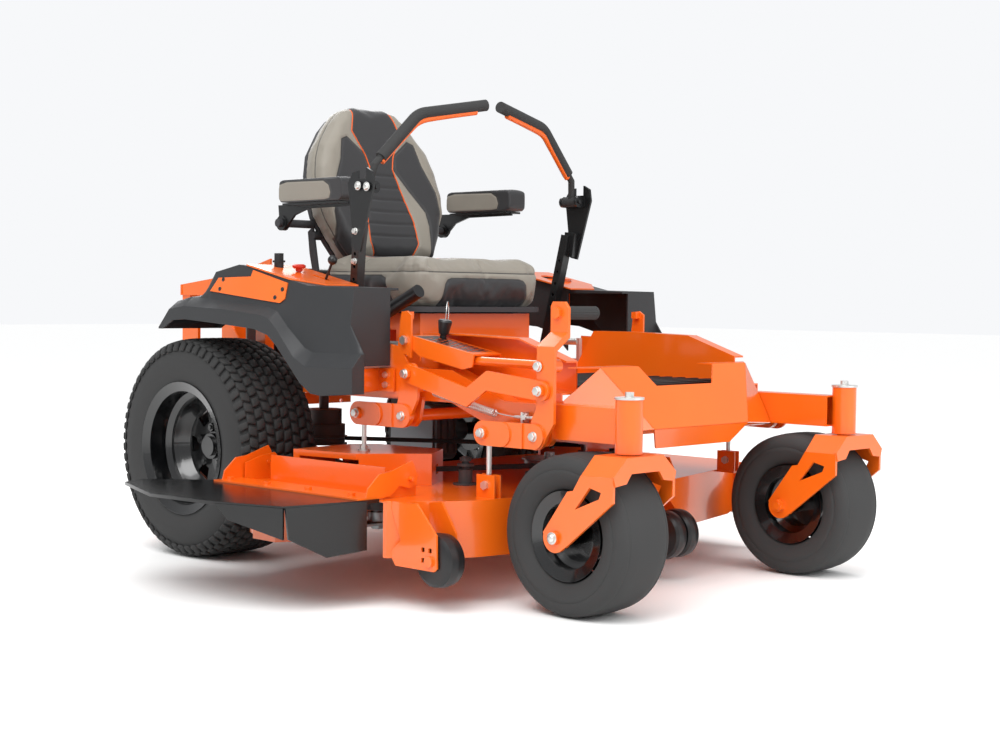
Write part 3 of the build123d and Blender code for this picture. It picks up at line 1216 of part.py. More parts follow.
def build():
    """Every node by name, in the machine's drawing frame."""
    nodes = {}
    nodes["main_frame"] = main_frame() + brake_stand() - shaft_bore()
    nodes["nose_plate"] = nose_plate()
    nodes["foot_mat"] = foot_mat()
    nodes["seat_platform"] = seat_platform()
    nodes["fenders"] = fender_set()
    nodes["consoles"] = consoles()
    nodes["rear_guard"] = rear_guard()
    nodes["engine_block"] = engine_block() - shaft_bore()
    nodes["engine_shroud"] = engine_shroud()
    nodes["muffler"] = muffler()
    nodes["hydro_drives"] = hydro_drives()
    nodes["frame_hardware"] = frame_hardware()
    nodes["height_plate"] = height_plate()
    nodes["lift_spring"] = lift_spring()
    nodes["pin_lanyard"] = lanyard()
    nodes["pto_pulley"] = pto_pulley()
    for name, make in (("caster_fork", caster_fork), ("caster_tyre", caster_tyre),
        ("caster_rim", caster_rim),
                       ("drive_tyre", drive_tyre), ("drive_rim", drive_rim), ("lever_post", lever_post),
                       ("handle", handle), ("armrest_bracket", armrest_bracket),
                       ("armrest_pad", armrest_pad)):
        right = make()
        nodes[name + "_right"] = right
        nodes[name + "_left"] = flip(right)
    nodes["deck_shell"] = deck_shell()
    nodes["belt_covers"] = belt_covers()
    nodes["spindle_housings"] = spindle_housings()
    nodes["deck_belt"] = belt_run()
    nodes["deck_hangers"] = deck_hangers()
    nodes["blade_right"] = blade_spindle((-SIDE_SPINDLE[0], SIDE_SPINDLE[1]), 0)
    nodes["blade_centre"] = blade_spindle(CENTRE_SPINDLE, 90)
    nodes["blade_left"] = blade_spindle(SIDE_SPINDLE, 0)
    nodes["side_roller_right"] = side_roller()
    nodes["side_roller_left"] = Pos(4, 62, 0) * flip(side_roller())
    nodes["centre_roller"] = centre_roller()
    nodes["chute_bracket"] = chute_bracket()
    nodes["chute_flap"] = chute_flap()
    nodes["front_lift_arm"] = front_lift_arm()
    nodes["foot_peg"] = foot_peg()
    nodes["rear_lift_crank"] = rear_lift_crank()
    nodes["link_bar"] = link_bar()
    nodes["lift_rod"] = lift_rod()
    nodes["brake_lever"] = brake_lever()
    nodes["throttle_lever"] = throttle_lever()
    nodes["pto_knob"] = pto_knob()
    nodes["ignition_key"] = ignition_key()
    nodes["height_pin"] = height_pin()
    nodes["seat_shell"] = seat_shell()
    nodes["seat_cushion"] = seat_cushion()
    nodes["seat_back"] = seat_back()
    return nodes


def plan_middle(nodes):
    """X and Y of the middle of the whole machine's plan."""
    boxes = [shape.bounding_box() for shape in nodes.values()]
    x = (min(b.min.X for b in boxes) + max(b.max.X for b in boxes)) / 2
    y = (min(b.min.Y for b in boxes) + max(b.max.Y for b in boxes)) / 2
    return x, y


NODES = build()
MIDDLE = plan_middle(NODES)
os.makedirs("parts", exist_ok=True)
for node, shape in NODES.items():
    export_step(Pos(-MIDDLE[0], -MIDDLE[1], 0) * shape, f"parts/{node}.step")
print("origin moved by", [round(-v, 3) for v in MIDDLE], "nodes", len(NODES))
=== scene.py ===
"""The looks of a zero turn mower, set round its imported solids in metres."""

import json
import logging
import math
from dataclasses import dataclass
from enum import Enum
from typing import Any, Mapping, Sequence

import bmesh
import bpy
import numpy as np
from mathutils import Matrix, Vector


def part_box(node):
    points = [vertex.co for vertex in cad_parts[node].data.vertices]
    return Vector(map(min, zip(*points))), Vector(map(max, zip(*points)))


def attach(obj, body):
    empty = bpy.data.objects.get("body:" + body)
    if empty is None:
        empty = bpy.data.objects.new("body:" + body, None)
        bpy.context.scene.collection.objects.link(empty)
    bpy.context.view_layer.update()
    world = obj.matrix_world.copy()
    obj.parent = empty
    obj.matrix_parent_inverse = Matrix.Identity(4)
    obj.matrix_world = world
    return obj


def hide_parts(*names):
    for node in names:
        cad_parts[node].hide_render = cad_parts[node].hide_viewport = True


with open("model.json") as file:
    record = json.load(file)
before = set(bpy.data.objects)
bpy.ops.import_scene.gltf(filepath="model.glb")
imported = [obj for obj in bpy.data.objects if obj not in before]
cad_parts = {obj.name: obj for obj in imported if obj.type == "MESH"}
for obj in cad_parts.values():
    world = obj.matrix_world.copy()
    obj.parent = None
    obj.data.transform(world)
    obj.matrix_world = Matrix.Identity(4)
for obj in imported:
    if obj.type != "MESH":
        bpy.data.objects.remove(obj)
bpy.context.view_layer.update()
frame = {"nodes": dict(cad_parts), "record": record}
LOG = logging.getLogger("mower")
MM = 0.001
WELD = 1e-5  # corners nearer than this, in metres, are one corner
FAR = 1e9  # further than anything, to start a search for the nearest
TINY = 1e-9  # keeps a division from a zero
FACTOR, FIRST, SECOND, MIXED = 0, 6, 7, 2  # the colour sockets of a Mix node: three in, one out
CLOUD_LOW, CLOUD_HIGH = 0.35, 0.65  # the part of a noise's range that its clouds mostly fill
GLOSS_SPREAD = 0.15  # how far a finish's roughness drifts either way, as a share
FACING_MM = 60  # how many mm a full turn of a face counts for beside a distance
OUTSIDE = 1200  # further out than any solid, in mm from the middle of the machine
SIDES = {"right": -1, "left": 1}
NODE_SLOTS = {s["node"]: s["material_slot"] for s in frame["record"]["subparts"]}
NODE_BODY = {n: b for b, nodes in frame["record"]["behaviour"]["bodies"].items() for n in nodes}
Point = tuple[float, float, float]
Flat = tuple[float, float]


def box_centre(node: str) -> Vector:
    """Return the middle of a node's box, in metres."""
    low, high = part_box(node)
    return (low + high) / 2


WHEEL_RIGHT, WHEEL_LEFT = box_centre("drive_tyre_right"), box_centre("drive_tyre_left")
ORIGIN = Vector(((WHEEL_RIGHT.x + WHEEL_LEFT.x) / 2, WHEEL_RIGHT.y, 0.0))


def place(x: float, y: float, z: float) -> Vector:
    """Turn a place on the machine's drawing, in mm from under the rear axle, into the row frame."""
    return ORIGIN + Vector((x, y, z)) * MM


def linear(colour: str) -> tuple[float, float, float, float]:
    """Turn an sRGB hex colour into linear light.

    Args:
        colour: six hex digits, with or without the hash.

    Returns:
        Linear red, green and blue, with an alpha of one.
    """
    digits = colour.lstrip("#")
    parts = [int(digits[i:i + 2], 16) / 255 for i in (0, 2, 4)]
    light = [p / 12.92 if p <= 0.04045 else ((p + 0.055) / 1.055) ** 2.4 for p in parts]
    return light[0], light[1], light[2], 1.0


def add_node(tree: bpy.types.NodeTree, kind: str, settings: Mapping[str, Any] | None = None,
             values: Mapping[Any, Any] | None = None, links: Mapping[Any, Any] | None = None) -> bpy.types.Node:
    """Add a shader node.

    Args:
        tree: the material's tree.
        kind: the node's type.
        settings: attributes of the node.
        values: input values by socket name or number.
        links: source sockets by input name or number.

    Returns:
        The new node.
    """
    node = tree.nodes.new(kind)
    for key, value in (settings or {}).items():
        setattr(node, key, value)
    for key, value in (values or {}).items():
        node.inputs[key].default_value = value
    for key, source in (links or {}).items():
        tree.links.new(source, node.inputs[key])
    return node


def per_mm(size_mm: float) -> float:
    """Return the texture scale that gives features of that size."""
    return 1.0 / (size_mm * MM)


@dataclass(frozen=True)
class Surface:
    """What every finish here has: a colour that drifts a little, a gloss and a fine relief."""

    name: str
    colour: str
    second: str
    roughness: float
    grain_mm: float = 1.2
    relief_mm: float = 0.03
    drift_mm: float = 160.0
    drift: float = 0.5
    metallic: float = 0.0
    coat: float = 0.0
    coat_roughness: float = 0.1
    sheen: float = 0.0
    ior: float = 1.5
    edge_mm: float = 1.2
    specular: float = 0.5

    def material(self) -> bpy.types.Material:
        """Return the finish's material, made once."""
        known = bpy.data.materials.get(self.name)
        return known or self.make()

    def make(self) -> bpy.types.Material:
        """Build the shader.

        Returns:
            The new material.
        """
        material = bpy.data.materials.new(self.name)
        material.use_nodes = True
        tree = material.node_tree
        tree.nodes.clear()
        coords = add_node(tree, "ShaderNodeTexCoord").outputs["Object"]
        cloud = add_node(tree, "ShaderNodeTexNoise", None, {"Scale": per_mm(self.drift_mm), "Detail": 4.0},
                         {"Vector": coords}).outputs["Fac"]
        spread = add_node(tree, "ShaderNodeMapRange", None,
                          {"From Min": CLOUD_LOW, "From Max": CLOUD_HIGH, "To Max": self.drift},
                          {"Value": cloud}).outputs["Result"]
        colour = add_node(tree, "ShaderNodeMix", {"data_type": "RGBA"},
                          {FIRST: linear(self.colour), SECOND: linear(self.second)},
                        {FACTOR: spread}).outputs[MIXED]
        fine = add_node(tree, "ShaderNodeTexNoise", None, {"Scale": per_mm(self.grain_mm), "Detail": 3.0},
                        {"Vector": coords}).outputs["Fac"]
        gloss = add_node(tree, "ShaderNodeMapRange", None,
                         {"To Min": self.roughness * (1 - GLOSS_SPREAD),
                          "To Max": min(self.roughness * (1 + GLOSS_SPREAD), 1.0)},
                         {"Value": cloud}).outputs["Result"]
        links = {"Base Color": self.tint(tree, coords, colour), "Roughness": gloss}
        links["Normal"] = self.relief(tree, coords, fine)
        shader = add_node(tree, "ShaderNodeBsdfPrincipled", None, {
            "Metallic": self.metallic, "IOR": self.ior, "Coat Weight": self.coat,
            "Coat Roughness": self.coat_roughness, "Sheen Weight": self.sheen,
            "Specular IOR Level": self.specular}, links)
        add_node(tree, "ShaderNodeOutputMaterial", None, None, {"Surface": shader.outputs["BSDF"]})
        return material

    def tint(self, tree: bpy.types.NodeTree, coords: Any, colour: Any) -> Any:
        """Return the colour as it is; other finishes lay a pattern over it."""
        return colour

    def relief(self, tree: bpy.types.NodeTree, coords: Any, fine: Any) -> Any:
        """Return the surface normal: softened edges under a fine relief.

        Args:
            tree: the material's tree.
            coords: the object coordinates.
            fine: the fine noise.

        Returns:
            The socket of the normal.
        """
        bump = add_node(tree, "ShaderNodeBump", None, {"Distance": self.relief_mm * MM, "Strength": 0.8},
                        {"Height": fine})
        if self.edge_mm:
            edge = add_node(tree, "ShaderNodeBevel", {"samples": 4}, {"Radius": self.edge_mm * MM})
            tree.links.new(edge.outputs["Normal"], bump.inputs["Normal"])
        return bump.outputs["Normal"]


@dataclass(frozen=True)
class GaugePlate(Surface):
    """Powder coated steel whose sunk face is painted black."""

    field: str = "131314"

    def tint(self, tree: bpy.types.NodeTree, coords: Any, colour: Any) -> Any:
        """Lay the black over the paint where the piece's field value is one.

        Args:
            tree: the material's tree.
            coords: the object coordinates.
            colour: the paint's colour.

        Returns:
            The socket of the mixed colour.
        """
        field = add_node(tree, "ShaderNodeAttribute", {"attribute_name": "field"}).outputs["Fac"]
        return add_node(tree, "ShaderNodeMix", {"data_type": "RGBA"}, {SECOND: linear(self.field)},
                        {FACTOR: field, FIRST: colour}).outputs[MIXED]


@dataclass(frozen=True)
class Vinyl(Surface):
    """Grained upholstery vinyl, with darker panels where the piece's panel value is above zero."""

    panel: str = "272729"
    thread: str = "151515"
    seam_mm: float = 1.1
    seam_dark: float = 0.85
    edge_fade_mm: float = 0.4

    def tint(self, tree: bpy.types.NodeTree, coords: Any, colour: Any) -> Any:
        """Lay the dark panels and their seam lines over the light vinyl.

        Args:
            tree: the material's tree.
            coords: the object coordinates.
            colour: the light vinyl's colour.

        Returns:
            The socket of the mixed colour.
        """
        panel = add_node(tree, "ShaderNodeAttribute", {"attribute_name": "panel"}).outputs["Fac"]
        mask = add_node(tree, "ShaderNodeMapRange", None,
                        {"From Min": -self.edge_fade_mm, "From Max": self.edge_fade_mm}, {"Value": panel})
        dark = add_node(tree, "ShaderNodeMix", {"data_type": "RGBA"}, {SECOND: linear(self.panel)},
                        {FACTOR: mask.outputs["Result"], FIRST: colour}).outputs[MIXED]
        seam = add_node(tree, "ShaderNodeAttribute", {"attribute_name": "seam"}).outputs["Fac"]
        line = add_node(tree, "ShaderNodeMapRange", None,
                        {"From Min": self.seam_mm, "From Max": self.seam_mm * 2,
                         "To Min": self.seam_dark, "To Max": 0.0}, {"Value": seam})
        return add_node(tree, "ShaderNodeMix", {"data_type": "RGBA"}, {SECOND: linear(self.thread)},
                        {FACTOR: line.outputs["Result"], FIRST: dark}).outputs[MIXED]

    def relief(self, tree: bpy.types.NodeTree, coords: Any, fine: Any) -> Any:
        """Return the normal of pebbled leather grain: small raised cells.

        Args:
            tree: the material's tree.
            coords: the object coordinates.
            fine: the fine noise, which the cells replace.

        Returns:
            The socket of the normal.
        """
        cells = add_node(tree, "ShaderNodeTexVoronoi", {"feature": "DISTANCE_TO_EDGE"},
                         {"Scale": per_mm(self.grain_mm)}, {"Vector": coords}).outputs["Distance"]
        return add_node(tree, "ShaderNodeBump", None, {"Distance": self.relief_mm * MM, "Strength": 0.7},
                        {"Height": cells}).outputs["Normal"]


class Finish(Enum):
    """The machine's finishes, by what they are."""

    # Gloss powder coat over steel: bright, with a faint orange-peel ripple of a few mm.
    ORANGE_COAT = Surface("orange_powder_coat", "f0660c", "ec6c12", 0.3, grain_mm=2.4, relief_mm=0.02,
                          coat=0.55, coat_roughness=0.08)
    # Satin powder coat: brackets and levers, black with a soft highlight.
    BLACK_COAT = Surface("black_powder_coat", "0d0e0f", "131416", 0.36, grain_mm=1.6, relief_mm=0.02, coat=0.25)
    # Baked enamel on pressed rims: glossy, so that the dish catches the light.
    RIM_ENAMEL = Surface("black_rim_enamel", "0a0b0c", "101113", 0.24, grain_mm=2.6, relief_mm=0.02, coat=0.7,
                         coat_roughness=0.06, edge_mm=1.6)
    # Zinc plate on fasteners: a bright metal that is slightly cloudy.
    ZINC = Surface("zinc_plate", "c9c8c2", "aeb0b1", 0.3, grain_mm=0.8, relief_mm=0.02, drift_mm=9.0, metallic=1.0,
                   edge_mm=0.7)
    # Moulded polyethylene covers: charcoal, with a fine spark-eroded grain and a soft sheen.
    COVER_PLASTIC = Surface("moulded_cover_plastic", "28292b", "2e2f31", 0.52, grain_mm=0.9, relief_mm=0.09,
                            edge_mm=3.0)
    # Moulded nylon: knobs and rollers, smooth and a little shiny.
    KNOB_PLASTIC = Surface("moulded_nylon", "161617", "1d1d1f", 0.36, grain_mm=0.7, relief_mm=0.04)
    RED_PLASTIC = Surface("red_nylon", "b92a14", "c23018", 0.35, grain_mm=0.7, relief_mm=0.03)
    # Vulcanised rubber: matt tread, and a caster tyre that is dustier and more worn.
    TYRE = Surface("tyre_rubber", "0f0f10", "161617", 0.68, grain_mm=1.1, relief_mm=0.1, drift_mm=60.0,
                   edge_mm=0.0, specular=0.35)
    CASTER = Surface("caster_rubber", "0d0d0e", "1e1d1d", 0.55, grain_mm=1.4, relief_mm=0.12, drift_mm=34.0,
                     drift=0.8, edge_mm=0.0, specular=0.4)
    # Smooth sheet rubber: the chute, nearly black with long soft highlights.
    FLAP_RUBBER = Surface("chute_rubber", "070708", "0b0b0c", 0.24, grain_mm=3.0, relief_mm=0.03, coat=0.25,
                          specular=0.4, coat_roughness=0.12)
    # Moulded rubber: mat, belts and grips, with orange inlays in the grips.
    DULL_RUBBER = Surface("dull_rubber", "121213", "191919", 0.62, grain_mm=0.8, relief_mm=0.08)
    GRIP = Surface("grip_rubber", "151516", "1b1b1c", 0.5, grain_mm=0.8, relief_mm=0.06)
    GRIP_INLAY = Surface("orange_grip_inlay", "ee6410", "e86a14", 0.42, grain_mm=0.9, relief_mm=0.04)
    # Embossed upholstery vinyl: pebbled grain of 2 mm, with a trace of sheen and corded piping.
    LIGHT_VINYL = Vinyl("light_vinyl", "857f74", "8d877c", 0.5, grain_mm=2.2, relief_mm=0.16, drift_mm=120.0,
                        sheen=0.15, edge_mm=0.0)
    ARM_VINYL = Vinyl("armrest_vinyl", "837d73", "8b857a", 0.5, grain_mm=2.2, relief_mm=0.16, drift_mm=120.0,
                      sheen=0.15, edge_mm=0.0)
    PIPING = Surface("orange_piping", "e25c0e", "d85810", 0.45, grain_mm=0.7, relief_mm=0.04, edge_mm=0.0)
    # Blow-moulded seat shell, and the engine's satin enamel.
    SHELL_PLASTIC = Surface("seat_shell_plastic", "131314", "19191a", 0.55, grain_mm=0.9, relief_mm=0.09)
    ENGINE_BLACK = Surface("engine_enamel", "0f0f10", "161617", 0.4, grain_mm=1.5, relief_mm=0.05, coat=0.15)
    # Sand cast alloy and iron, exhaust steel browned by heat, and blades left as ground.
    CAST_ALLOY = Surface("cast_alloy", "777a7d", "8a8c8e", 0.48, grain_mm=1.8, relief_mm=0.14, metallic=0.8)
    HOT_STEEL = Surface("heat_tinted_steel", "8d857a", "6e665e", 0.42, grain_mm=1.2, relief_mm=0.06, drift_mm=70.0,
                        metallic=1.0)
    CAST_IRON = Surface("painted_casting", "3a3b3c", "454647", 0.5, grain_mm=2.0, relief_mm=0.16)
    BLADE_STEEL = Surface("ground_steel", "8e8f90", "77797b", 0.38, grain_mm=0.9, relief_mm=0.05, metallic=1.0)
    # Drawn steel wire: almost a mirror.
    WIRE = Surface("bright_wire", "d8d8d6", "c4c5c6", 0.2, grain_mm=0.6, relief_mm=0.01, drift_mm=8.0,
                   metallic=1.0, edge_mm=0.0)
    # The same gloss powder coat as the frame, with a black field.
    GAUGE = GaugePlate("height_gauge_plate", "f0660c", "ec6c12", 0.3, grain_mm=2.4, relief_mm=0.02, coat=0.4)


SLOT_FINISH = {
    "orange_paint": Finish.ORANGE_COAT, "black_paint": Finish.BLACK_COAT, "rim_black": Finish.RIM_ENAMEL,
    "zinc_plate": Finish.ZINC, "fender_plastic": Finish.COVER_PLASTIC, "knob_plastic": Finish.KNOB_PLASTIC,
    "red_plastic": Finish.RED_PLASTIC, "tyre_rubber": Finish.TYRE, "caster_rubber": Finish.CASTER,
    "flap_rubber": Finish.FLAP_RUBBER, "belt_rubber": Finish.DULL_RUBBER, "grip_rubber": Finish.GRIP,
    "roller_plastic": Finish.KNOB_PLASTIC, "seat_vinyl": Finish.LIGHT_VINYL, "arm_vinyl": Finish.ARM_VINYL,
    "seat_shell_plastic": Finish.SHELL_PLASTIC, "engine_black": Finish.ENGINE_BLACK,
    "drive_grey": Finish.CAST_ALLOY, "muffler_steel": Finish.HOT_STEEL, "cast_grey": Finish.CAST_IRON,
    "blade_steel": Finish.BLADE_STEEL, "wire_steel": Finish.WIRE, "mat_rubber": Finish.DULL_RUBBER,
}


# ---- small steps that every piece uses ----
def deselect() -> None:
    """Leave nothing selected."""
    if bpy.context.object and bpy.context.object.mode != "OBJECT":
        bpy.ops.object.mode_set(mode="OBJECT")
    bpy.ops.object.select_all(action="DESELECT")


def choose(*pieces: bpy.types.Object) -> None:
    """Select just these pieces, the first one active."""
    deselect()
    for piece in pieces:
        piece.select_set(True)
    bpy.context.view_layer.objects.active = pieces[0]


def edit_all(piece: bpy.types.Object) -> None:
    """Open a piece in edit mode with all of it selected.

    Args:
        piece: the piece.
    """
    choose(piece)
    bpy.ops.object.mode_set(mode="EDIT")
    bpy.ops.mesh.select_all(action="SELECT")


def close_edit() -> None:
    """Go back to object mode."""
    bpy.ops.object.mode_set(mode="OBJECT")


def settle(piece: bpy.types.Object) -> None:
    """Put a piece's place into its mesh."""
    choose(piece)
    bpy.ops.object.transform_apply(location=True, rotation=True, scale=True)


def apply_modifiers(piece: bpy.types.Object) -> None:
    """Apply every modifier of a piece, in order.

    Args:
        piece: the piece.
    """
    choose(piece)
    for modifier in list(piece.modifiers):
        bpy.ops.object.modifier_apply(modifier=modifier.name)


def smooth(piece: bpy.types.Object, degrees: float = 32.0) -> None:
    """Shade a piece smooth, with edges above that angle kept sharp."""
    choose(piece)
    bpy.ops.object.shade_smooth_by_angle(angle=math.radians(degrees))


def join(name: str, pieces: Sequence[bpy.types.Object]) -> bpy.types.Object:
    """Join several meshes into one piece of that name.

    Args:
        name: the joined piece's name.
        pieces: the meshes.

    Returns:
        The joined piece.
    """
    choose(*pieces)
    if len(pieces) > 1:
        bpy.ops.object.join()
    pieces[0].name = name
    return pieces[0]


def dress(piece: bpy.types.Object, finish: Finish, body: str,
          stands_for: Sequence[str] = ()) -> bpy.types.Object:
    """Give a finished piece its material, body and slot.

    Args:
        piece: the piece, with its place in its mesh.
        finish: its finish.
        body: the body that it rides on.
        stands_for: the solids that it stands for.

    Returns:
        The piece.
    """
    piece.data.materials.clear()
    piece.data.materials.append(finish.value.material())
    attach(piece, body)
    if stands_for:
        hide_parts(*stands_for)
    LOG.info("%s rides on %s, %d faces", piece.name, body, len(piece.data.polygons))
    return piece


def stand_in(piece: bpy.types.Object, node: str, finish: Finish | None = None) -> bpy.types.Object:
    """Dress a piece that stands for a solid, on the solid's body and in its slot.

    Args:
        piece: the piece.
        node: the solid.
        finish: its finish, where that isn't the slot's own.

    Returns:
        The piece.
    """
    slot = NODE_SLOTS[node]
    return dress(piece, finish or SLOT_FINISH[slot], NODE_BODY[node], [node])


def merged_copy(node: str, name: str) -> bpy.types.Object:
    """Copy a solid's mesh with its doubled corners merged.

    Args:
        node: the solid.
        name: the copy's name.

    Returns:
        The copy.
    """
    piece = bpy.data.objects.new(name, frame["nodes"][node].data.copy())
    bpy.context.scene.collection.objects.link(piece)
    choose(piece)
    bpy.ops.mesh.customdata_custom_splitnormals_clear()
    edit_all(piece)
    bpy.ops.mesh.remove_doubles(threshold=WELD)
    close_edit()
    return piece


def triples(corners: Any, key: str) -> np.ndarray:
    """Return three numbers for each corner of a mesh, as rows.

    Args:
        corners: the mesh's collection.
        key: the property that holds the three.

    Returns:
        The rows.
    """
    flat = np.zeros(len(corners) * 3, np.float32)
    corners.foreach_get(key, flat)
    return flat.reshape(-1, 3).astype(float)


def coordinates(piece: bpy.types.Object) -> np.ndarray:
    """Return a mesh's corners as rows of x, y and z."""
    return triples(piece.data.vertices, "co")


def set_coordinates(piece: bpy.types.Object, points: np.ndarray) -> None:
    """Write a mesh's corners."""
    piece.data.vertices.foreach_set("co", points.astype(np.float32).ravel())
    piece.data.update()


def normals(piece: bpy.types.Object) -> np.ndarray:
    """Return a mesh's corner normals."""
    return triples(piece.data.vertex_normals, "vector")


def drawn(points: np.ndarray) -> np.ndarray:
    """Turn rows of points from the row frame into mm on the machine's drawing."""
    return (points - np.array(ORIGIN)) / MM


def placed(points: np.ndarray) -> np.ndarray:
    """Turn rows of points in mm on the machine's drawing into the row frame."""
    return points * MM + np.array(ORIGIN)


def facing_past(share: np.ndarray, least: float) -> np.ndarray:
    """Return a value above zero where a normal's share along an axis is over a least one, to mix with mm."""
    return (share - least) * FACING_MM


def outer_x(node: str, side: int, y: float, z: float) -> float:
    """Find a solid's outer face on one side of the machine.

    Args:
        node: the solid.
        side: -1 for the right, 1 for the left.
        y: the place along the machine, in mm.
        z: the height, in mm.

    Returns:
        The face's place along X, in metres.

    Raises:
        ValueError: where the solid has no face there.
    """
    outside = place(side * OUTSIDE, y, z)
    found, at, _, _ = frame["nodes"][node].ray_cast(outside, Vector((-side, 0, 0)))
    if not found:
        raise ValueError(f"{node} has no face at {y}, {z}")
    return at.x


def set_values(piece: bpy.types.Object, name: str, values: np.ndarray) -> None:
    """Store one number per corner for a material to read."""
    layer = piece.data.attributes.get(name) or piece.data.attributes.new(name, "FLOAT", "POINT")
    layer.data.foreach_set("value", values.astype(np.float32))


def signed_distance(points: np.ndarray, outline: Sequence[Flat]) -> np.ndarray:
    """Measure points against a closed outline.

    Args:
        points: rows of two coordinates.
        outline: the corners of the outline, in the same units.

    Returns:
        Each point's distance to the outline, above zero inside it.
    """
    best = np.full(len(points), FAR)
    inside = np.zeros(len(points), bool)
    corners = [np.array(p, float) for p in outline]
    for a, b in zip(corners, corners[1:] + corners[:1]):
        edge = b - a
        along = np.clip(((points - a) @ edge) / (edge @ edge), 0, 1)
        best = np.minimum(best, np.linalg.norm(points - a - along[:, None] * edge, axis=1))
        crosses = (a[1] > points[:, 1]) != (b[1] > points[:, 1])
        rise = edge[1] if abs(edge[1]) > TINY else TINY
        inside ^= crosses & (points[:, 0] < a[0] + (points[:, 1] - a[1]) * edge[0] / rise)
    return np.where(inside, best, -best)


def resample(line: Sequence[Flat], step: float) -> list[Flat]:
    """Divide a run of straight pieces into short steps.

    Args:
        line: the corners of the run.
        step: about how long a step is, in the same units.

    Returns:
        The corners with the points between them.
    """
    made: list[Flat] = []
    for a, b in zip(line, line[1:]):
        count = max(1, round(math.dist(a, b) / step))
        made += [(a[0] + (b[0] - a[0]) * i / count, a[1] + (b[1] - a[1]) * i / count) for i in range(count)]
    return made + [line[-1]]


def wire(name: str, points: Sequence[Vector], radius_mm: float, steps: int) -> bpy.types.Object:
    """Lay a round wire along a smooth line.

    Args:
        name: the wire's name.
        points: the line's control points.
        radius_mm: the wire's radius.
        steps: the divisions from one point to the next.

    Returns:
        The wire as a curve.
    """
    curve = bpy.data.curves.new(name, "CURVE")
    curve.dimensions = "3D"
    curve.bevel_depth = radius_mm * MM
    curve.bevel_resolution = 3
    curve.use_fill_caps = True
    curve.resolution_u = steps
    spline = curve.splines.new("NURBS")
    spline.points.add(len(points) - 1)
    for knot, point in zip(spline.points, points):
        knot.co = (*point, 1.0)
    spline.order_u = 3
    spline.use_endpoint_u = True
    piece = bpy.data.objects.new(name, curve)
    bpy.context.scene.collection.objects.link(piece)
    return piece


def tube(name: str, points: Sequence[Vector], radius_mm: float) -> bpy.types.Object:
    """Lay a wire and make it a mesh.

    Args:
        name: the piece's name.
        points: the line's control points.
        radius_mm: the section's radius.

    Returns:
        The mesh, with its place in it.
    """
    piece = wire(name, points, radius_mm, 3)
    choose(piece)
    bpy.ops.object.convert(target="MESH")
    smooth(piece, 40)
    return piece


def spun(name: str, profile: Sequence[Flat], centre: Vector, steps: int) -> bpy.types.Object:
    """Spin a closed profile about a wheel's axle, which lies along X.

    Args:
        name: the piece's name.
        profile: distance along the axle and radius of each corner, in mm.
        centre: the wheel's centre.
        steps: how many steps a turn has.

    Returns:
        The closed ring.
    """
    bpy.ops.mesh.primitive_circle_add(vertices=len(profile), radius=1, location=(0, 0, 0))
    piece = bpy.context.object
    piece.name = name
    for corner, (along, out) in zip(piece.data.vertices, profile):
        corner.co = centre + Vector((along, 0, out)) * MM
    edit_all(piece)
    bpy.ops.mesh.spin(steps=steps, angle=2 * math.pi, center=centre, axis=(1, 0, 0))
    bpy.ops.mesh.select_all(action="SELECT")
    bpy.ops.mesh.remove_doubles(threshold=WELD)
    bpy.ops.mesh.normals_make_consistent(inside=False)
    close_edit()
    return piece


def turned(angle: float, centre: Vector) -> Matrix:
    """Return a turn about a line along X through a point."""
    return Matrix.Translation(centre) @ Matrix.Rotation(angle, 4, "X") @ Matrix.Translation(-centre)


def ring_of(piece: bpy.types.Object, count: int, centre: Vector) -> None:
    """Repeat a piece round a wheel's axle with an array modifier, and apply it.

    Args:
        piece: the piece.
        count: how many there are in the ring.
        centre: the wheel's centre.
    """
    helper = bpy.data.objects.new("array_turn", None)
    bpy.context.scene.collection.objects.link(helper)
    helper.matrix_world = turned(2 * math.pi / count, centre)
    array = piece.modifiers.new("round", "ARRAY")
    array.count = count
    array.use_relative_offset = False
    array.use_object_offset = True
    array.offset_object = helper
    bpy.context.view_layer.update()
    apply_modifiers(piece)
    bpy.data.objects.remove(helper)


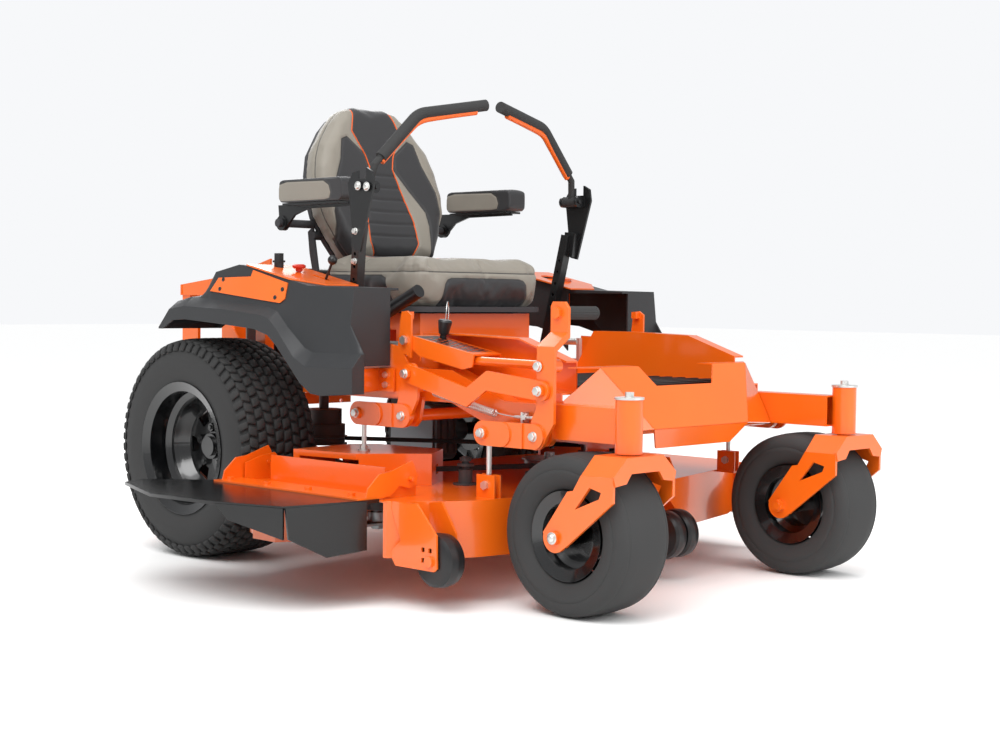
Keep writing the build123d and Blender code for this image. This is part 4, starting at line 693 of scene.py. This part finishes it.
# ---- the studio ----
@dataclass
class Studio:
    """Camera, pale floor and soft lights."""

    camera_at: Point = (-3.145, -3.590, 0.684)
    heading: float = -0.807
    down: float = 0.046
    roll: float = 0.010
    lens: float = 60.05
    sensor: float = 36.0
    sight: float = 200.0
    floor_size: float = 60.0
    floor_colour: str = "fbfbfa"
    sky_light: float = 0.6
    sun_strength: float = 1.7
    sun_spread: float = 1.1
    sky_seen: float = 1.0
    sky_colour: str = "f7f8fa"
    sun_way: Point = (0.35, 0.3, -1.0)
    aim: Point = (0, -500, 400)
    boxes: tuple[tuple[str, Point, float, float], ...] = (
        ("key_box", (-3200, -1800, 3600), 2.6, 90.0), ("front_box", (600, -4800, 2200), 2.4, 60.0),
        ("rear_box", (1800, 2600, 3200), 2.6, 90.0))

    def build(self) -> None:
        """Make the camera first, then the floor and lights."""
        self.camera()
        self.floor()
        self.lights()

    def camera(self) -> None:
        """Stand the camera in front of the machine's right corner."""
        data = bpy.data.cameras.new("camera")
        data.lens = self.lens
        data.sensor_width = self.sensor
        data.clip_end = self.sight
        camera = bpy.data.objects.new("camera", data)
        bpy.context.scene.collection.objects.link(camera)
        turn = Matrix.Rotation(self.heading, 4, "Z") @ Matrix.Rotation(math.pi / 2 - self.down, 4, "X")
        at = ORIGIN + Vector(self.camera_at)
        camera.matrix_world = Matrix.Translation(at) @ turn @ Matrix.Rotation(self.roll, 4, "Z")
        bpy.context.scene.camera = camera

    def floor(self) -> None:
        """Lay a wide floor of pale paper under the machine."""
        deselect()
        bpy.ops.mesh.primitive_plane_add(size=self.floor_size, location=(0, 0, 0))
        floor = bpy.context.object
        floor.name = "studio_floor"
        edit_all(floor)
        bpy.ops.mesh.subdivide(number_cuts=3)
        close_edit()
        paper = Surface("studio_paper", self.floor_colour, "fcfcfb", 0.9, relief_mm=0.0, edge_mm=0.0, specular=0.2)
        floor.data.materials.append(paper.material())

    def lights(self) -> None:
        """Give a pale sky, a wide window light and three soft boxes."""
        world = bpy.data.worlds.new("studio_sky")
        world.use_nodes = True
        tree = world.node_tree
        sky = tree.nodes["Background"]
        sky.inputs["Color"].default_value = linear(self.sky_colour)
        seen = add_node(tree, "ShaderNodeLightPath").outputs["Is Camera Ray"]
        strength = add_node(tree, "ShaderNodeMapRange", None,
                            {"To Min": self.sky_light, "To Max": self.sky_seen}, {"Value": seen})
        tree.links.new(strength.outputs["Result"], sky.inputs["Strength"])
        bpy.context.scene.world = world
        bpy.context.scene.view_settings.view_transform = "Standard"
        sun = bpy.data.lights.new("window_light", "SUN")
        sun.energy = self.sun_strength
        sun.angle = self.sun_spread
        self.hang(sun, Vector((0, 0, 0)), Vector(self.sun_way))
        for name, at, size, power in self.boxes:
            box = bpy.data.lights.new(name, "AREA")
            box.shape = "SQUARE"
            box.size = size
            box.energy = power
            self.hang(box, place(*at), place(*self.aim) - place(*at))

    def hang(self, light: bpy.types.Light, at: Vector, way: Vector) -> None:
        """Hang a light at a place, shining one way.

        Args:
            light: the light.
            at: the place.
            way: the way it shines.
        """
        lamp = bpy.data.objects.new(light.name, light)
        lamp.location = at
        lamp.rotation_mode = "QUATERNION"
        lamp.rotation_quaternion = way.to_track_quat("-Z", "Y")
        bpy.context.scene.collection.objects.link(lamp)


# ---- the cord ----
@dataclass
class PinLanyard:
    """The bright wire that keeps the height pin with its plate."""

    route: tuple[Point, ...] = (
        (-355.5, -736.3, 631.0), (-354.5, -737.5, 650.0), (-349.0, -734.0, 668.0), (-341.0, -729.0, 677.0),
        (-334.0, -725.0, 666.0), (-331.0, -722.0, 644.0), (-332.0, -719.0, 618.0), (-344.0, -716.0, 590.8))
    radius_mm: float = 1.2
    length: float = 0.139

    def build(self) -> None:
        cord = wire("pin_wire", [place(*point) for point in self.route], self.radius_mm, 12)
        cord.data.materials.append(Finish.WIRE.value.material())
        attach(cord, NODE_BODY["pin_lanyard"])
        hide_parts("pin_lanyard")
        LOG.info("pin_wire laid")


# ---- wheels ----
@dataclass
class Tyre:
    """A hollow tyre: half its outer and half its inner profile, as distance along the axle and radius in mm."""

    node: str
    carcass: tuple[Flat, ...] = ()
    inner: tuple[Flat, ...] = ()

    def body(self, ending: str, steps: int, sharp: float) -> bpy.types.Object:
        """Spin the whole profile about the wheel's axle.

        Args:
            ending: what the name adds to the solid's.
            steps: how many steps a turn has.
            sharp: the angle above which an edge stays sharp, in degrees.

        Returns:
            The closed tyre.
        """
        outside = [(-u, r) for u, r in self.carcass] + list(self.carcass[-2::-1])
        inside = list(self.inner[::-1]) + [(-u, r) for u, r in self.inner[1:]]
        tyre = spun(self.node + ending, outside + inside, box_centre(self.node), steps)
        smooth(tyre, sharp)
        return tyre


@dataclass
class DriveTyre(Tyre):
    """A turf tyre: a hollow carcass with rows of rounded tread blocks."""

    carcass: tuple[Flat, ...] = (
        (105, 152.7), (112, 166), (118, 190), (120.5, 214), (118, 240), (108, 262), (96, 274), (60, 277.5),
        (0, 278.5))
    inner: tuple[Flat, ...] = ((0, 266), (80, 262), (103, 232), (106, 196), (92, 152.7))
    # Each row's place along the axle, its blocks' middle radius and their lean, in mm and degrees.
    rows: tuple[tuple[float, float, float], ...] = (
        (13.5, 281.9, 0.0), (40.5, 281.6, 2.0), (67.0, 280.8, 4.0), (92.0, 277.6, 13.0), (109.5, 265.5, 52.0))
    blocks_round: int = 58
    tread_depth: float = 8.0
    middle_block: Flat = (22.5, 25.0)
    shoulder_block: Flat = (27.0, 20.0)
    shoulder_lean: float = 40.0
    skew: float = 3.5
    taper: float = 0.86
    rounding: float = 1.8

    def build(self) -> bpy.types.Object:
        """Spin the carcass, set the blocks round it and join them.

        Returns:
            The dressed tyre.
        """
        parts = [self.body("_turf", 120, 60)]
        for number, (along, out, lean) in enumerate(self.rows):
            for sign in (-1, 1):
                parts.append(self.block_row(sign * along, out, sign * lean, number))
        return stand_in(join(self.node + "_turf", parts), self.node)

    def block_row(self, along: float, out: float, lean: float, number: int) -> bpy.types.Object:
        """Model one tread block and repeat it round the tyre.

        Args:
            along: the row's place along the axle, in mm.
            out: the block's middle radius, in mm.
            lean: how far the block leans towards the shoulder, in degrees.
            number: the row, counted from the middle, which sets its stagger.

        Returns:
            The row as one mesh.
        """
        centre = box_centre(self.node)
        deselect()
        bpy.ops.mesh.primitive_cube_add(size=1, location=(0, 0, 0))
        block = bpy.context.object
        outline = self.shoulder_block if abs(lean) > self.shoulder_lean else self.middle_block
        size = Vector((*outline, self.tread_depth)) * MM
        skew = self.skew * MM * (-1) ** number
        for corner in block.data.vertices:
            corner.co = Vector(map(float.__mul__, corner.co, size))
            corner.co.y += skew * math.copysign(1, corner.co.x)
            if corner.co.z > 0:
                corner.co.x *= self.taper
                corner.co.y *= self.taper
        edit_all(block)
        bpy.ops.mesh.bevel(offset=self.rounding * MM, segments=1)
        close_edit()
        stagger = math.pi / self.blocks_round * (number % 2)
        tilt = Matrix.Rotation(math.radians(lean), 4, "Y")
        lift = Matrix.Translation(centre + Vector((along, 0, out)) * MM)
        block.data.transform(turned(stagger, centre) @ lift @ tilt)
        smooth(block, 50)
        ring_of(block, self.blocks_round, centre)
        return block


@dataclass
class CasterTyre(Tyre):
    """A smooth caster tyre with a rounded tread and a moulding line at each shoulder."""

    carcass: tuple[Flat, ...] = (
        (57, 98.4), (62, 100), (68, 104), (77, 116), (81.6, 134), (81.8, 141), (80.4, 143), (81.4, 145.5),
        (80, 156), (74, 167), (66, 172.6), (62, 173.6), (60, 172.9), (57.5, 174.4), (30, 176.6), (0, 177))
    inner: tuple[Flat, ...] = ((0, 166), (50, 163), (68, 150), (70, 128), (50, 104), (44, 98.4))

    def build(self) -> bpy.types.Object:
        """Spin the tyre and dress it."""
        return stand_in(self.body("_smooth", 96, 50), self.node)


# ---- seat ----
@dataclass
class Pad:
    """A stuffed pad swelled by cloth simulation from its solid, with panels, seams and piping."""

    node: str
    voxel: float = 0.006
    start_in: float = 0.006
    pressure: float = 4.0
    cap: float = 0.022
    frames: int = 20
    fill: float = 0.7
    calm: int = 0
    piping_mm: float = 1.9
    piping_step: float = 7.0
    piping_out: float = 0.4

    def base(self) -> bpy.types.Object:
        """Remesh the solid as even small squares, a little inside its skin.

        Returns:
            The remeshed pad.
        """
        piece = merged_copy(self.node, self.node + "_pad")
        remesh = piece.modifiers.new("even", "REMESH")
        remesh.mode = "VOXEL"
        remesh.voxel_size = self.voxel
        apply_modifiers(piece)
        set_coordinates(piece, coordinates(piece) - normals(piece) * self.start_in)
        return piece

    def swell(self, piece: bpy.types.Object) -> None:
        """Blow the pad up with cloth pressure and cap how far each point moves.

        Args:
            piece: the remeshed pad.
        """
        rest = coordinates(piece)
        cloth = piece.modifiers.new("stuffing", "CLOTH")
        cloth.settings.use_pressure = True
        cloth.settings.uniform_pressure_force = self.pressure
        cloth.settings.effector_weights.gravity = 0.0
        cloth.settings.quality = 4
        cloth.point_cache.frame_end = self.frames
        scene = bpy.context.scene
        for number in range(1, self.frames + 1):
            scene.frame_set(number)
        shown = piece.evaluated_get(bpy.context.evaluated_depsgraph_get())
        step = coordinates(shown) - rest
        length = np.linalg.norm(step, axis=1, keepdims=True)
        moved = rest + step * np.minimum(1.0, self.cap / np.maximum(length, TINY))
        piece.modifiers.remove(cloth)
        scene.frame_set(1)
        set_coordinates(piece, moved)

    def refine(self, piece: bpy.types.Object) -> None:
        """Ease the wrinkles and add one subdivision.

        Args:
            piece: the pad.
        """
        if self.calm:
            ease = piece.modifiers.new("ease", "SMOOTH")
            ease.factor = 0.5
            ease.iterations = self.calm
        finer = piece.modifiers.new("finer", "SUBSURF")
        finer.levels = finer.render_levels = 1
        apply_modifiers(piece)

    def build(self) -> bpy.types.Object:
        """Returns:
            The dressed pad.
        """
        piece = self.base()
        self.swell(piece)
        self.refine(piece)
        self.shape(piece)
        smooth(piece, 180)
        stand_in(piece, self.node)
        self.trim(piece)
        return piece

    def shape(self, piece: bpy.types.Object) -> None:
        """Press the seams in and mark the panels; each pad has its own."""

    def trim(self, piece: bpy.types.Object) -> None:
        """Lay piping; each pad has its own."""

    def mark(self, piece: bpy.types.Object, panel: np.ndarray, seam: np.ndarray, groove: Flat) -> None:
        """Store the panels and seams for the vinyl, and press the seams in.

        Args:
            piece: the pad.
            panel: above zero inside the dark panels, in mm.
            seam: each corner's distance to a seam, in mm.
            groove: the seam's depth and half width, in mm.
        """
        set_values(piece, "panel", panel)
        set_values(piece, "seam", seam)
        self.groove(piece, seam, groove)

    def groove(self, piece: bpy.types.Object, distance: np.ndarray, groove: Flat) -> None:
        """Press a soft channel along a line.

        Args:
            piece: the pad.
            distance: each corner's distance to the line, in mm.
            groove: the channel's depth and half width, in mm.
        """
        push = groove[0] * MM * np.exp(-(distance / groove[1]) ** 2)
        set_coordinates(piece, coordinates(piece) - normals(piece) * push[:, None])

    def lay_piping(self, piece: bpy.types.Object, name: str, starts: Sequence[Vector], way: Vector) -> None:
        """Lay orange piping where lines from some points first meet the pad.

        Args:
            piece: the pad.
            name: the piping's name.
            starts: the points.
            way: the way of the lines.
        """
        made = []
        for start in starts:
            found, at, facing, _ = piece.ray_cast(start, way)
            if found:
                made.append(at + facing * self.piping_out * MM)
        dress(tube(name, made, self.piping_mm), Finish.PIPING, NODE_BODY[self.node])


@dataclass
class Backrest(Pad):
    """The tall back: light bolsters, a charcoal middle with orange piping, and charcoal side wedges."""

    foot: Flat = (-117.0, 820.0)
    lean: float = 15.0
    middle: tuple[Flat, ...] = (
        (-60, 420), (66, 420), (72, 372), (90, 318), (52, 252), (42, 216), (62, 138), (86, 62), (90, 0), (70, -36),
        (-60, -64))
    piped: int = 9
    wedge: tuple[Flat, ...] = (
        (54, 255), (112, 300), (134, 291), (150, 232), (190, 152), (198, 84), (172, -60), (132, -60), (142, 52),
        (136, 92), (84, 158), (47, 212))
    channels: tuple[float, ...] = (20.0, 55.0, 90.0, 125.0, 160.0, 195.0)
    channel_groove: Flat = (3.4, 4.2)
    seam_groove: Flat = (3.0, 4.0)
    dish: Flat = (9.0, 95.0)
    dish_from: float = 10.0
    dish_fade: float = 50.0
    rear: float = 31.0
    panel_rear: float = -8.0
    rim: float = -20.0

    def local(self, points: np.ndarray) -> np.ndarray:
        """Turn row frame points into the back's own across, through and up, in mm.

        Args:
            points: rows of points, in metres.

        Returns:
            The rows on the back's own axes.
        """
        flat = drawn(points) - np.array((0, *self.foot))
        c, s = math.cos(math.radians(self.lean)), math.sin(math.radians(self.lean))
        return np.stack([flat[:, 0], flat[:, 1] * c - flat[:, 2] * s, flat[:, 1] * s + flat[:, 2] * c], 1)

    def world(self, across: float, through: float, up: float) -> Vector:
        """Turn a point on the back's own axes into the row frame."""
        c, s = math.cos(math.radians(self.lean)), math.sin(math.radians(self.lean))
        return place(across, self.foot[0] + through * c + up * s, self.foot[1] - through * s + up * c)

    def backwards(self) -> Vector:
        """Return 1 mm through the pad, from its front to its rear."""
        return self.world(0, 1, 0) - self.world(0, 0, 0)

    def shape(self, piece: bpy.types.Object) -> None:
        """Flatten the rear, hollow the middle and press the seams and channels.

        Args:
            piece: the pad.
        """
        points = coordinates(piece)
        own = self.local(points)
        over = np.maximum(0.0, own[:, 1] - self.rear)
        front = np.clip((self.dish_from - own[:, 1]) / self.dish_fade, 0, 1)
        hollow = self.dish[0] * np.exp(-(np.abs(own[:, 0]) / self.dish[1]) ** 2) * front
        points += (hollow - over)[:, None] * np.array(self.backwards())
        set_coordinates(piece, points)
        own = self.local(points)
        plane = np.stack([np.abs(own[:, 0]), own[:, 2]], 1)
        middle, wedge = signed_distance(plane, self.middle), signed_distance(plane, self.wedge)
        behind = own[:, 1] - self.panel_rear
        ahead = behind * -3.0
        seam = np.minimum(np.abs(middle), np.abs(wedge)) + np.maximum(0.0, behind)
        seam = np.minimum(seam, np.abs(own[:, 1] - self.rim))
        self.mark(piece, np.minimum(np.maximum(middle, wedge), ahead), seam, self.seam_groove)
        lines = np.min([np.abs(own[:, 2] - up) for up in self.channels], axis=0)
        lines = np.maximum(lines, np.minimum(middle - 3, ahead) * -2)
        self.groove(piece, np.where(lines < 0, 0, lines), self.channel_groove)

    def trim(self, piece: bpy.types.Object) -> None:
        """Lay orange piping along the middle panel.

        Args:
            piece: the pad.
        """
        edge = resample([p for p in self.middle if p[0] > 0][:self.piped], self.piping_step)
        for name, side in SIDES.items():
            starts = [self.world(side * across, -120, up) for across, up in edge]
            self.lay_piping(piece, "back_piping_" + name, starts, self.backwards())


@dataclass
class SeatPad(Pad):
    """The seat: light vinyl with charcoal inserts in its front and sides and a piped middle."""

    base_z: float = 661.6
    front_insert: tuple[Flat, ...] = (
        (-165, 640), (165, 640), (152, 718), (142, 730), (126, 735), (-126, 735), (-142, 730), (-152, 718))
    side_insert: tuple[Flat, ...] = ((-412, 640), (-80, 640), (-80, 742), (-372, 742), (-392, 734), (-398, 716))
    top_insert: tuple[Flat, ...] = (
        (-60, -352), (92, -362), (150, -330), (168, -262), (160, -120), (-60, -120))
    belt_z: float = 751.0
    belt_flat: float = 0.93
    seam_groove: Flat = (2.6, 4.0)
    top_z: float = 735.0
    top_fade: float = 30.0
    crown: float = 4.0
    thigh: tuple[float, float, float] = (8.0, 105.0, 55.0)
    spine: Flat = (3.0, 40.0)
    rear_y: float = -170.0
    rear_fade: float = 120.0

    def shape(self, piece: bpy.types.Object) -> None:
        """Flatten the underside, dish the top for two thighs and press the seams.

        Args:
            piece: the pad.
        """
        own = drawn(coordinates(piece))
        across = np.abs(own[:, 0])
        top = np.clip((own[:, 2] - self.top_z) / self.top_fade, 0, 1)
        depth, place_x, wide = self.thigh
        wave = depth * np.exp(-((across - place_x) / wide) ** 2)
        wave += self.spine[0] * np.exp(-(across / self.spine[1]) ** 2)
        own[:, 2] += top * (self.crown - wave) * np.clip((self.rear_y - own[:, 1]) / self.rear_fade, 0, 1)
        own[:, 2] = np.maximum(own[:, 2], self.base_z)
        set_coordinates(piece, placed(own))
        facing = normals(piece)
        front = np.minimum(signed_distance(own[:, [0, 2]], self.front_insert), facing_past(-facing[:, 1], 0.2))
        side = np.minimum(signed_distance(own[:, [1, 2]], self.side_insert),
                          facing_past(np.abs(facing[:, 0]), 0.3))
        upper = np.minimum(signed_distance(np.stack([across, own[:, 1]], 1), self.top_insert),
                           facing_past(facing[:, 2], 0.3))
        panel = np.maximum(np.maximum(front, side), upper)
        belt = np.where(np.abs(facing[:, 2]) < self.belt_flat, np.abs(own[:, 2] - self.belt_z), FAR)
        self.mark(piece, panel, np.minimum(np.abs(panel), belt), self.seam_groove)

    def trim(self, piece: bpy.types.Object) -> None:
        """Lay orange piping round the middle of the seat.

        Args:
            piece: the pad.
        """
        left = [(x, y) for x, y in self.top_insert if x > 0]
        line = resample([(-x, y) for x, y in left[::-1]] + left, self.piping_step)
        self.lay_piping(piece, "seat_piping", [place(x, y, 900) for x, y in line], Vector((0, 0, -1)))


@dataclass
class ArmPad(Pad):
    """An armrest: light sides under a charcoal top and nose."""

    side_panel: tuple[Flat, ...] = (
        (-80, 938), (-76, 962), (-90, 980), (-120, 986), (-268, 984), (-290, 972), (-298, 952), (-292, 936),
        (-270, 933), (-100, 933))
    seam_groove: Flat = (1.6, 3.0)
    skin: float = 0.001
    half_width: float = 40.0
    crown_z: float = 975.0
    crown: float = 3.5
    crown_drop: float = 2.0

    def swell(self, piece: bpy.types.Object) -> None:
        """Puff the pad out by its starting inset, as foam under a tight cover."""
        set_coordinates(piece, coordinates(piece) + normals(piece) * (self.start_in - self.skin))

    def shape(self, piece: bpy.types.Object) -> None:
        """Round the section and mark the light side panels.

        Args:
            piece: the pad.
        """
        own = drawn(coordinates(piece))
        middle = (own[:, 0].min() + own[:, 0].max()) / 2
        crown = 1 - ((own[:, 0] - middle) / self.half_width) ** 2
        own[:, 2] += np.where(own[:, 2] > self.crown_z, self.crown * crown - self.crown_drop, 0)
        set_coordinates(piece, placed(own))
        light = np.minimum(signed_distance(own[:, [1, 2]], self.side_panel),
                           facing_past(np.abs(normals(piece)[:, 0]), 0.45))
        self.mark(piece, -light, np.abs(light), self.seam_groove)


# ---- levers, lift and other fittings ----
@dataclass
class GripInlay:
    """The orange strip let into the underside of a hand grip."""

    side: int
    body: str
    path: tuple[Point, ...] = ((352, -495, 1026), (262, -504, 1114), (238, -508, 1134), (204, -513, 1146),
                               (60, -537, 1172))
    bend_x: float = 238.0
    radius_mm: float = 8.0
    drop_mm: float = 8.2
    forward_mm: float = -1.5

    def build(self) -> None:
        """Sweep the strip just proud of the grip's lower face."""
        points = []
        for x, y, z in self.path:
            out = Vector((-0.55, 0, -0.84)) if x > self.bend_x else Vector((-0.2, 0, -0.98))
            spot = Vector((x, y, z)) + out * self.drop_mm + Vector((0, self.forward_mm, 0))
            points.append(place(self.side * spot.x, spot.y, spot.z))
        name = "grip_inlay_" + ("right" if self.side < 0 else "left")
        dress(tube(name, points, self.radius_mm), Finish.GRIP_INLAY, self.body)


@dataclass
class AssistSpring:
    """The zinc tension spring of the deck lift, with a hook at each end."""

    front: Point = (-439.0, -985.0, 424.0)
    rear: Point = (-439.0, -788.0, 462.0)
    tail: Point = (-439.0, -1045.7, 420.0)
    head: Point = (-439.0, -750.4, 466.6)
    turns: int = 34
    coil_mm: float = 7.9
    wire_mm: float = 1.5
    per_turn: int = 14
    hook: float = 0.004

    def build(self) -> None:
        """Wind the coil between its two hooks."""
        start, end = place(*self.rear), place(*self.front)
        axis = (end - start).normalized()
        side = axis.cross(Vector((1, 0, 0))).normalized()
        across = axis.cross(side)
        points = [place(*self.head), start - axis * self.hook]
        total = self.turns * self.per_turn
        for step in range(total + 1):
            angle = 2 * math.pi * step / self.per_turn
            ring = side * math.cos(angle) + across * math.sin(angle)
            points.append(start + (end - start) * step / total + ring * self.coil_mm * MM)
        points += [end + axis * self.hook, place(*self.tail)]
        stand_in(tube("assist_spring", points, self.wire_mm), "lift_spring")


@dataclass
class HeightGauge:
    """The perforated cutting height plate, with its black field."""

    node: str = "height_plate"
    top: Flat = (-694.0, 594.0)
    slope: float = 10.3
    length: float = 218.0
    x_range: Flat = (-432.5, -340.0)
    border: float = 9.0
    end_gaps: Flat = (6.0, 16.0)
    thickness: float = 1.0
    facing_up: float = 0.2

    def build(self) -> None:
        """Copy the plate, cut it finer and mark the field."""
        plate = merged_copy(self.node, "height_plate_marked")
        edit_all(plate)
        for _ in range(2):
            bpy.ops.mesh.subdivide(number_cuts=1)
        close_edit()
        own = drawn(coordinates(plate))
        c, s = math.cos(math.radians(self.slope)), math.sin(math.radians(self.slope))
        along = (own[:, 1] - self.top[0]) * c + (own[:, 2] - self.top[1]) * s
        height = -(own[:, 1] - self.top[0]) * s + (own[:, 2] - self.top[1]) * c
        low, high = self.x_range
        across = np.minimum(own[:, 0] - low, high - own[:, 0])
        ends = np.minimum(-along - self.end_gaps[0], self.length - self.end_gaps[1] + along)
        room = np.minimum(across, ends) - self.border
        upper = (np.abs(height) < self.thickness) * (normals(plate)[:, 2] > self.facing_up)
        set_values(plate, "field", np.clip(room / 2 + 1, 0, 1) * upper)
        smooth(plate, 30)
        stand_in(plate, self.node, Finish.GAUGE)


@dataclass
class BadgeBolts:
    """The four black buttons that hold each badge plate to its cover."""

    spots: tuple[Flat, ...] = ((-150, 724), (-144, 700), (-366, 680), (-386, 700))
    radius_mm: float = 6.0
    flatness: float = 0.5

    def build(self) -> None:
        """Model one domed button and copy it to each corner of both plates."""
        made = []
        for side in SIDES.values():
            for y, z in self.spots:
                deselect()
                bpy.ops.mesh.primitive_uv_sphere_add(segments=20, ring_count=12, radius=self.radius_mm * MM)
                button = bpy.context.object
                spot = Vector((outer_x("consoles", side, y, z), *place(0, y, z)[1:]))
                for corner in button.data.vertices:
                    corner.co.x *= self.flatness
                    corner.co += spot
                made.append(button)
        bolts = join("badge_bolts", made)
        smooth(bolts, 60)
        dress(bolts, Finish.KNOB_PLASTIC, "frame")


@dataclass
class BoltHeads:
    """Zinc bolt heads set on the outer face of one solid, each on a round washer."""

    name: str
    node: str
    side: int
    spots: tuple[Flat, ...]
    across_mm: float = 17.0
    high_mm: float = 7.0
    domed: bool = False
    washer_mm: float = 1.6
    washer_share: float = 0.66
    rim_steps: int = 3
    rim_reach: float = 1.6

    def build(self) -> None:
        """Model a washer and a head on each spot and join them."""
        made = [piece for y, z in self.spots for piece in self.head(y, z)]
        bolts = join(self.name, made)
        smooth(bolts, 40)
        dress(bolts, Finish.ZINC, NODE_BODY[self.node])

    def head(self, y: float, z: float) -> list[bpy.types.Object]:
        """Model the washer and the head.

        Args:
            y: the bolt's place along the machine, in mm.
            z: its height, in mm.

        Returns:
            The washer and the head.
        """
        face = outer_x(self.node, self.side, y, z)
        spot = place(0, y, z)
        # A dome is round and as wide as the bolt; a hexagon's corners are 0.577 of its flats from the middle.
        sides, share, round_off = (32, 0.5, 0.55) if self.domed else (6, 0.577, 0.12)
        washer = self.disc(32, self.across_mm * self.washer_share, self.washer_mm, face, spot, 0.25)
        seat = face + self.side * self.washer_mm * MM
        return [washer, self.disc(sides, self.across_mm * share, self.high_mm, seat, spot, round_off)]

    def disc(self, sides: int, radius: float, depth: float, face: float, spot: Vector,
             round_off: float) -> bpy.types.Object:
        """Model a disc that stands on a face, with its outer rim rounded off.

        Args:
            sides: how many sides it has.
            radius: its radius, in mm.
            depth: its depth, in mm.
            face: the face's place along X, in metres.
            spot: its middle, seen from the side.
            round_off: how much of the rim is rounded off, as a share of the smaller size.

        Returns:
            The disc.
        """
        deselect()
        middle = Vector((face + self.side * depth * MM / 2, spot.y, spot.z))
        bpy.ops.mesh.primitive_cylinder_add(vertices=sides, radius=radius * MM, depth=depth * MM, location=middle,
                                            rotation=(0, math.pi / 2, 0))
        disc = bpy.context.object
        settle(disc)
        edit_all(disc)
        bpy.ops.mesh.select_all(action="DESELECT")
        shell = bmesh.from_edit_mesh(disc.data)
        outer = self.side * (face + self.side * depth * MM)
        for edge in shell.edges:
            if all(self.side * corner.co.x > outer - WELD for corner in edge.verts):
                edge.select = True
        bmesh.update_edit_mesh(disc.data)
        bpy.ops.mesh.bevel(offset=min(radius, depth) * round_off * MM * self.rim_reach, segments=self.rim_steps)
        close_edit()
        return disc


@dataclass
class Bodywork:
    """Every other solid, welded and smoothly shaded in its own finish."""

    done: frozenset[str]

    def build(self) -> None:
        """Dress each solid that no other class has made."""
        for node in frame["nodes"]:
            if node in self.done:
                continue
            piece = merged_copy(node, node + "_part")
            smooth(piece, 30)
            stand_in(piece, node)


# Each row: the pieces' name, their solid, their places, the width over flats, the height, and whether domed.
PAIRED_BOLTS: tuple[tuple[str, str, tuple[Flat, ...], float, float, bool], ...] = (
    ("lever_bolts_", "lever_post_", ((-484, 957), (-516, 954)), 17, 5.0, True),
    ("post_bolts_", "lever_post_", ((-470, 846), (-449, 772)), 13, 6.0, False),
    ("fork_bolts_", "caster_fork_", ((-1242, 177),), 20, 7.0, True),
)
BOLTS = (
    BoltHeads("rear_crank_bolts", "rear_lift_crank", -1, ((-559, 404), (-706, 404), (-727.5, 505))),
    BoltHeads("front_arm_bolts", "front_lift_arm", -1,
              ((-982, 382), (-1129, 382), (-1138, 536), (-1150.5, 483))),
    *(BoltHeads(kind + name, node + name, side, spots, across, high, domed)
      for kind, node, spots, across, high, domed in PAIRED_BOLTS for name, side in SIDES.items()),
)


def main() -> None:
    """Build the studio, the cord and every piece of the mower."""
    logging.basicConfig(level=logging.INFO, format="%(message)s")
    Studio().build()
    PinLanyard().build()
    for name, side in SIDES.items():
        DriveTyre("drive_tyre_" + name).build()
        CasterTyre("caster_tyre_" + name).build()
        GripInlay(side, NODE_BODY["handle_" + name]).build()
        ArmPad("armrest_pad_" + name, voxel=0.004, start_in=0.003, fill=0.9).build()
    AssistSpring().build()
    HeightGauge().build()
    BadgeBolts().build()
    for bolts in BOLTS:
        bolts.build()
    SeatPad("seat_cushion", calm=5).build()
    Backrest("seat_back", start_in=0.002, pressure=2.5, cap=0.007, calm=14).build()
    done = {"pin_lanyard", "lift_spring", "height_plate", "seat_cushion", "seat_back"}
    done |= {kind + name for kind in ("drive_tyre_", "caster_tyre_", "armrest_pad_") for name in SIDES}
    Bodywork(frozenset(done)).build()


if __name__ == "__main__":
    main()
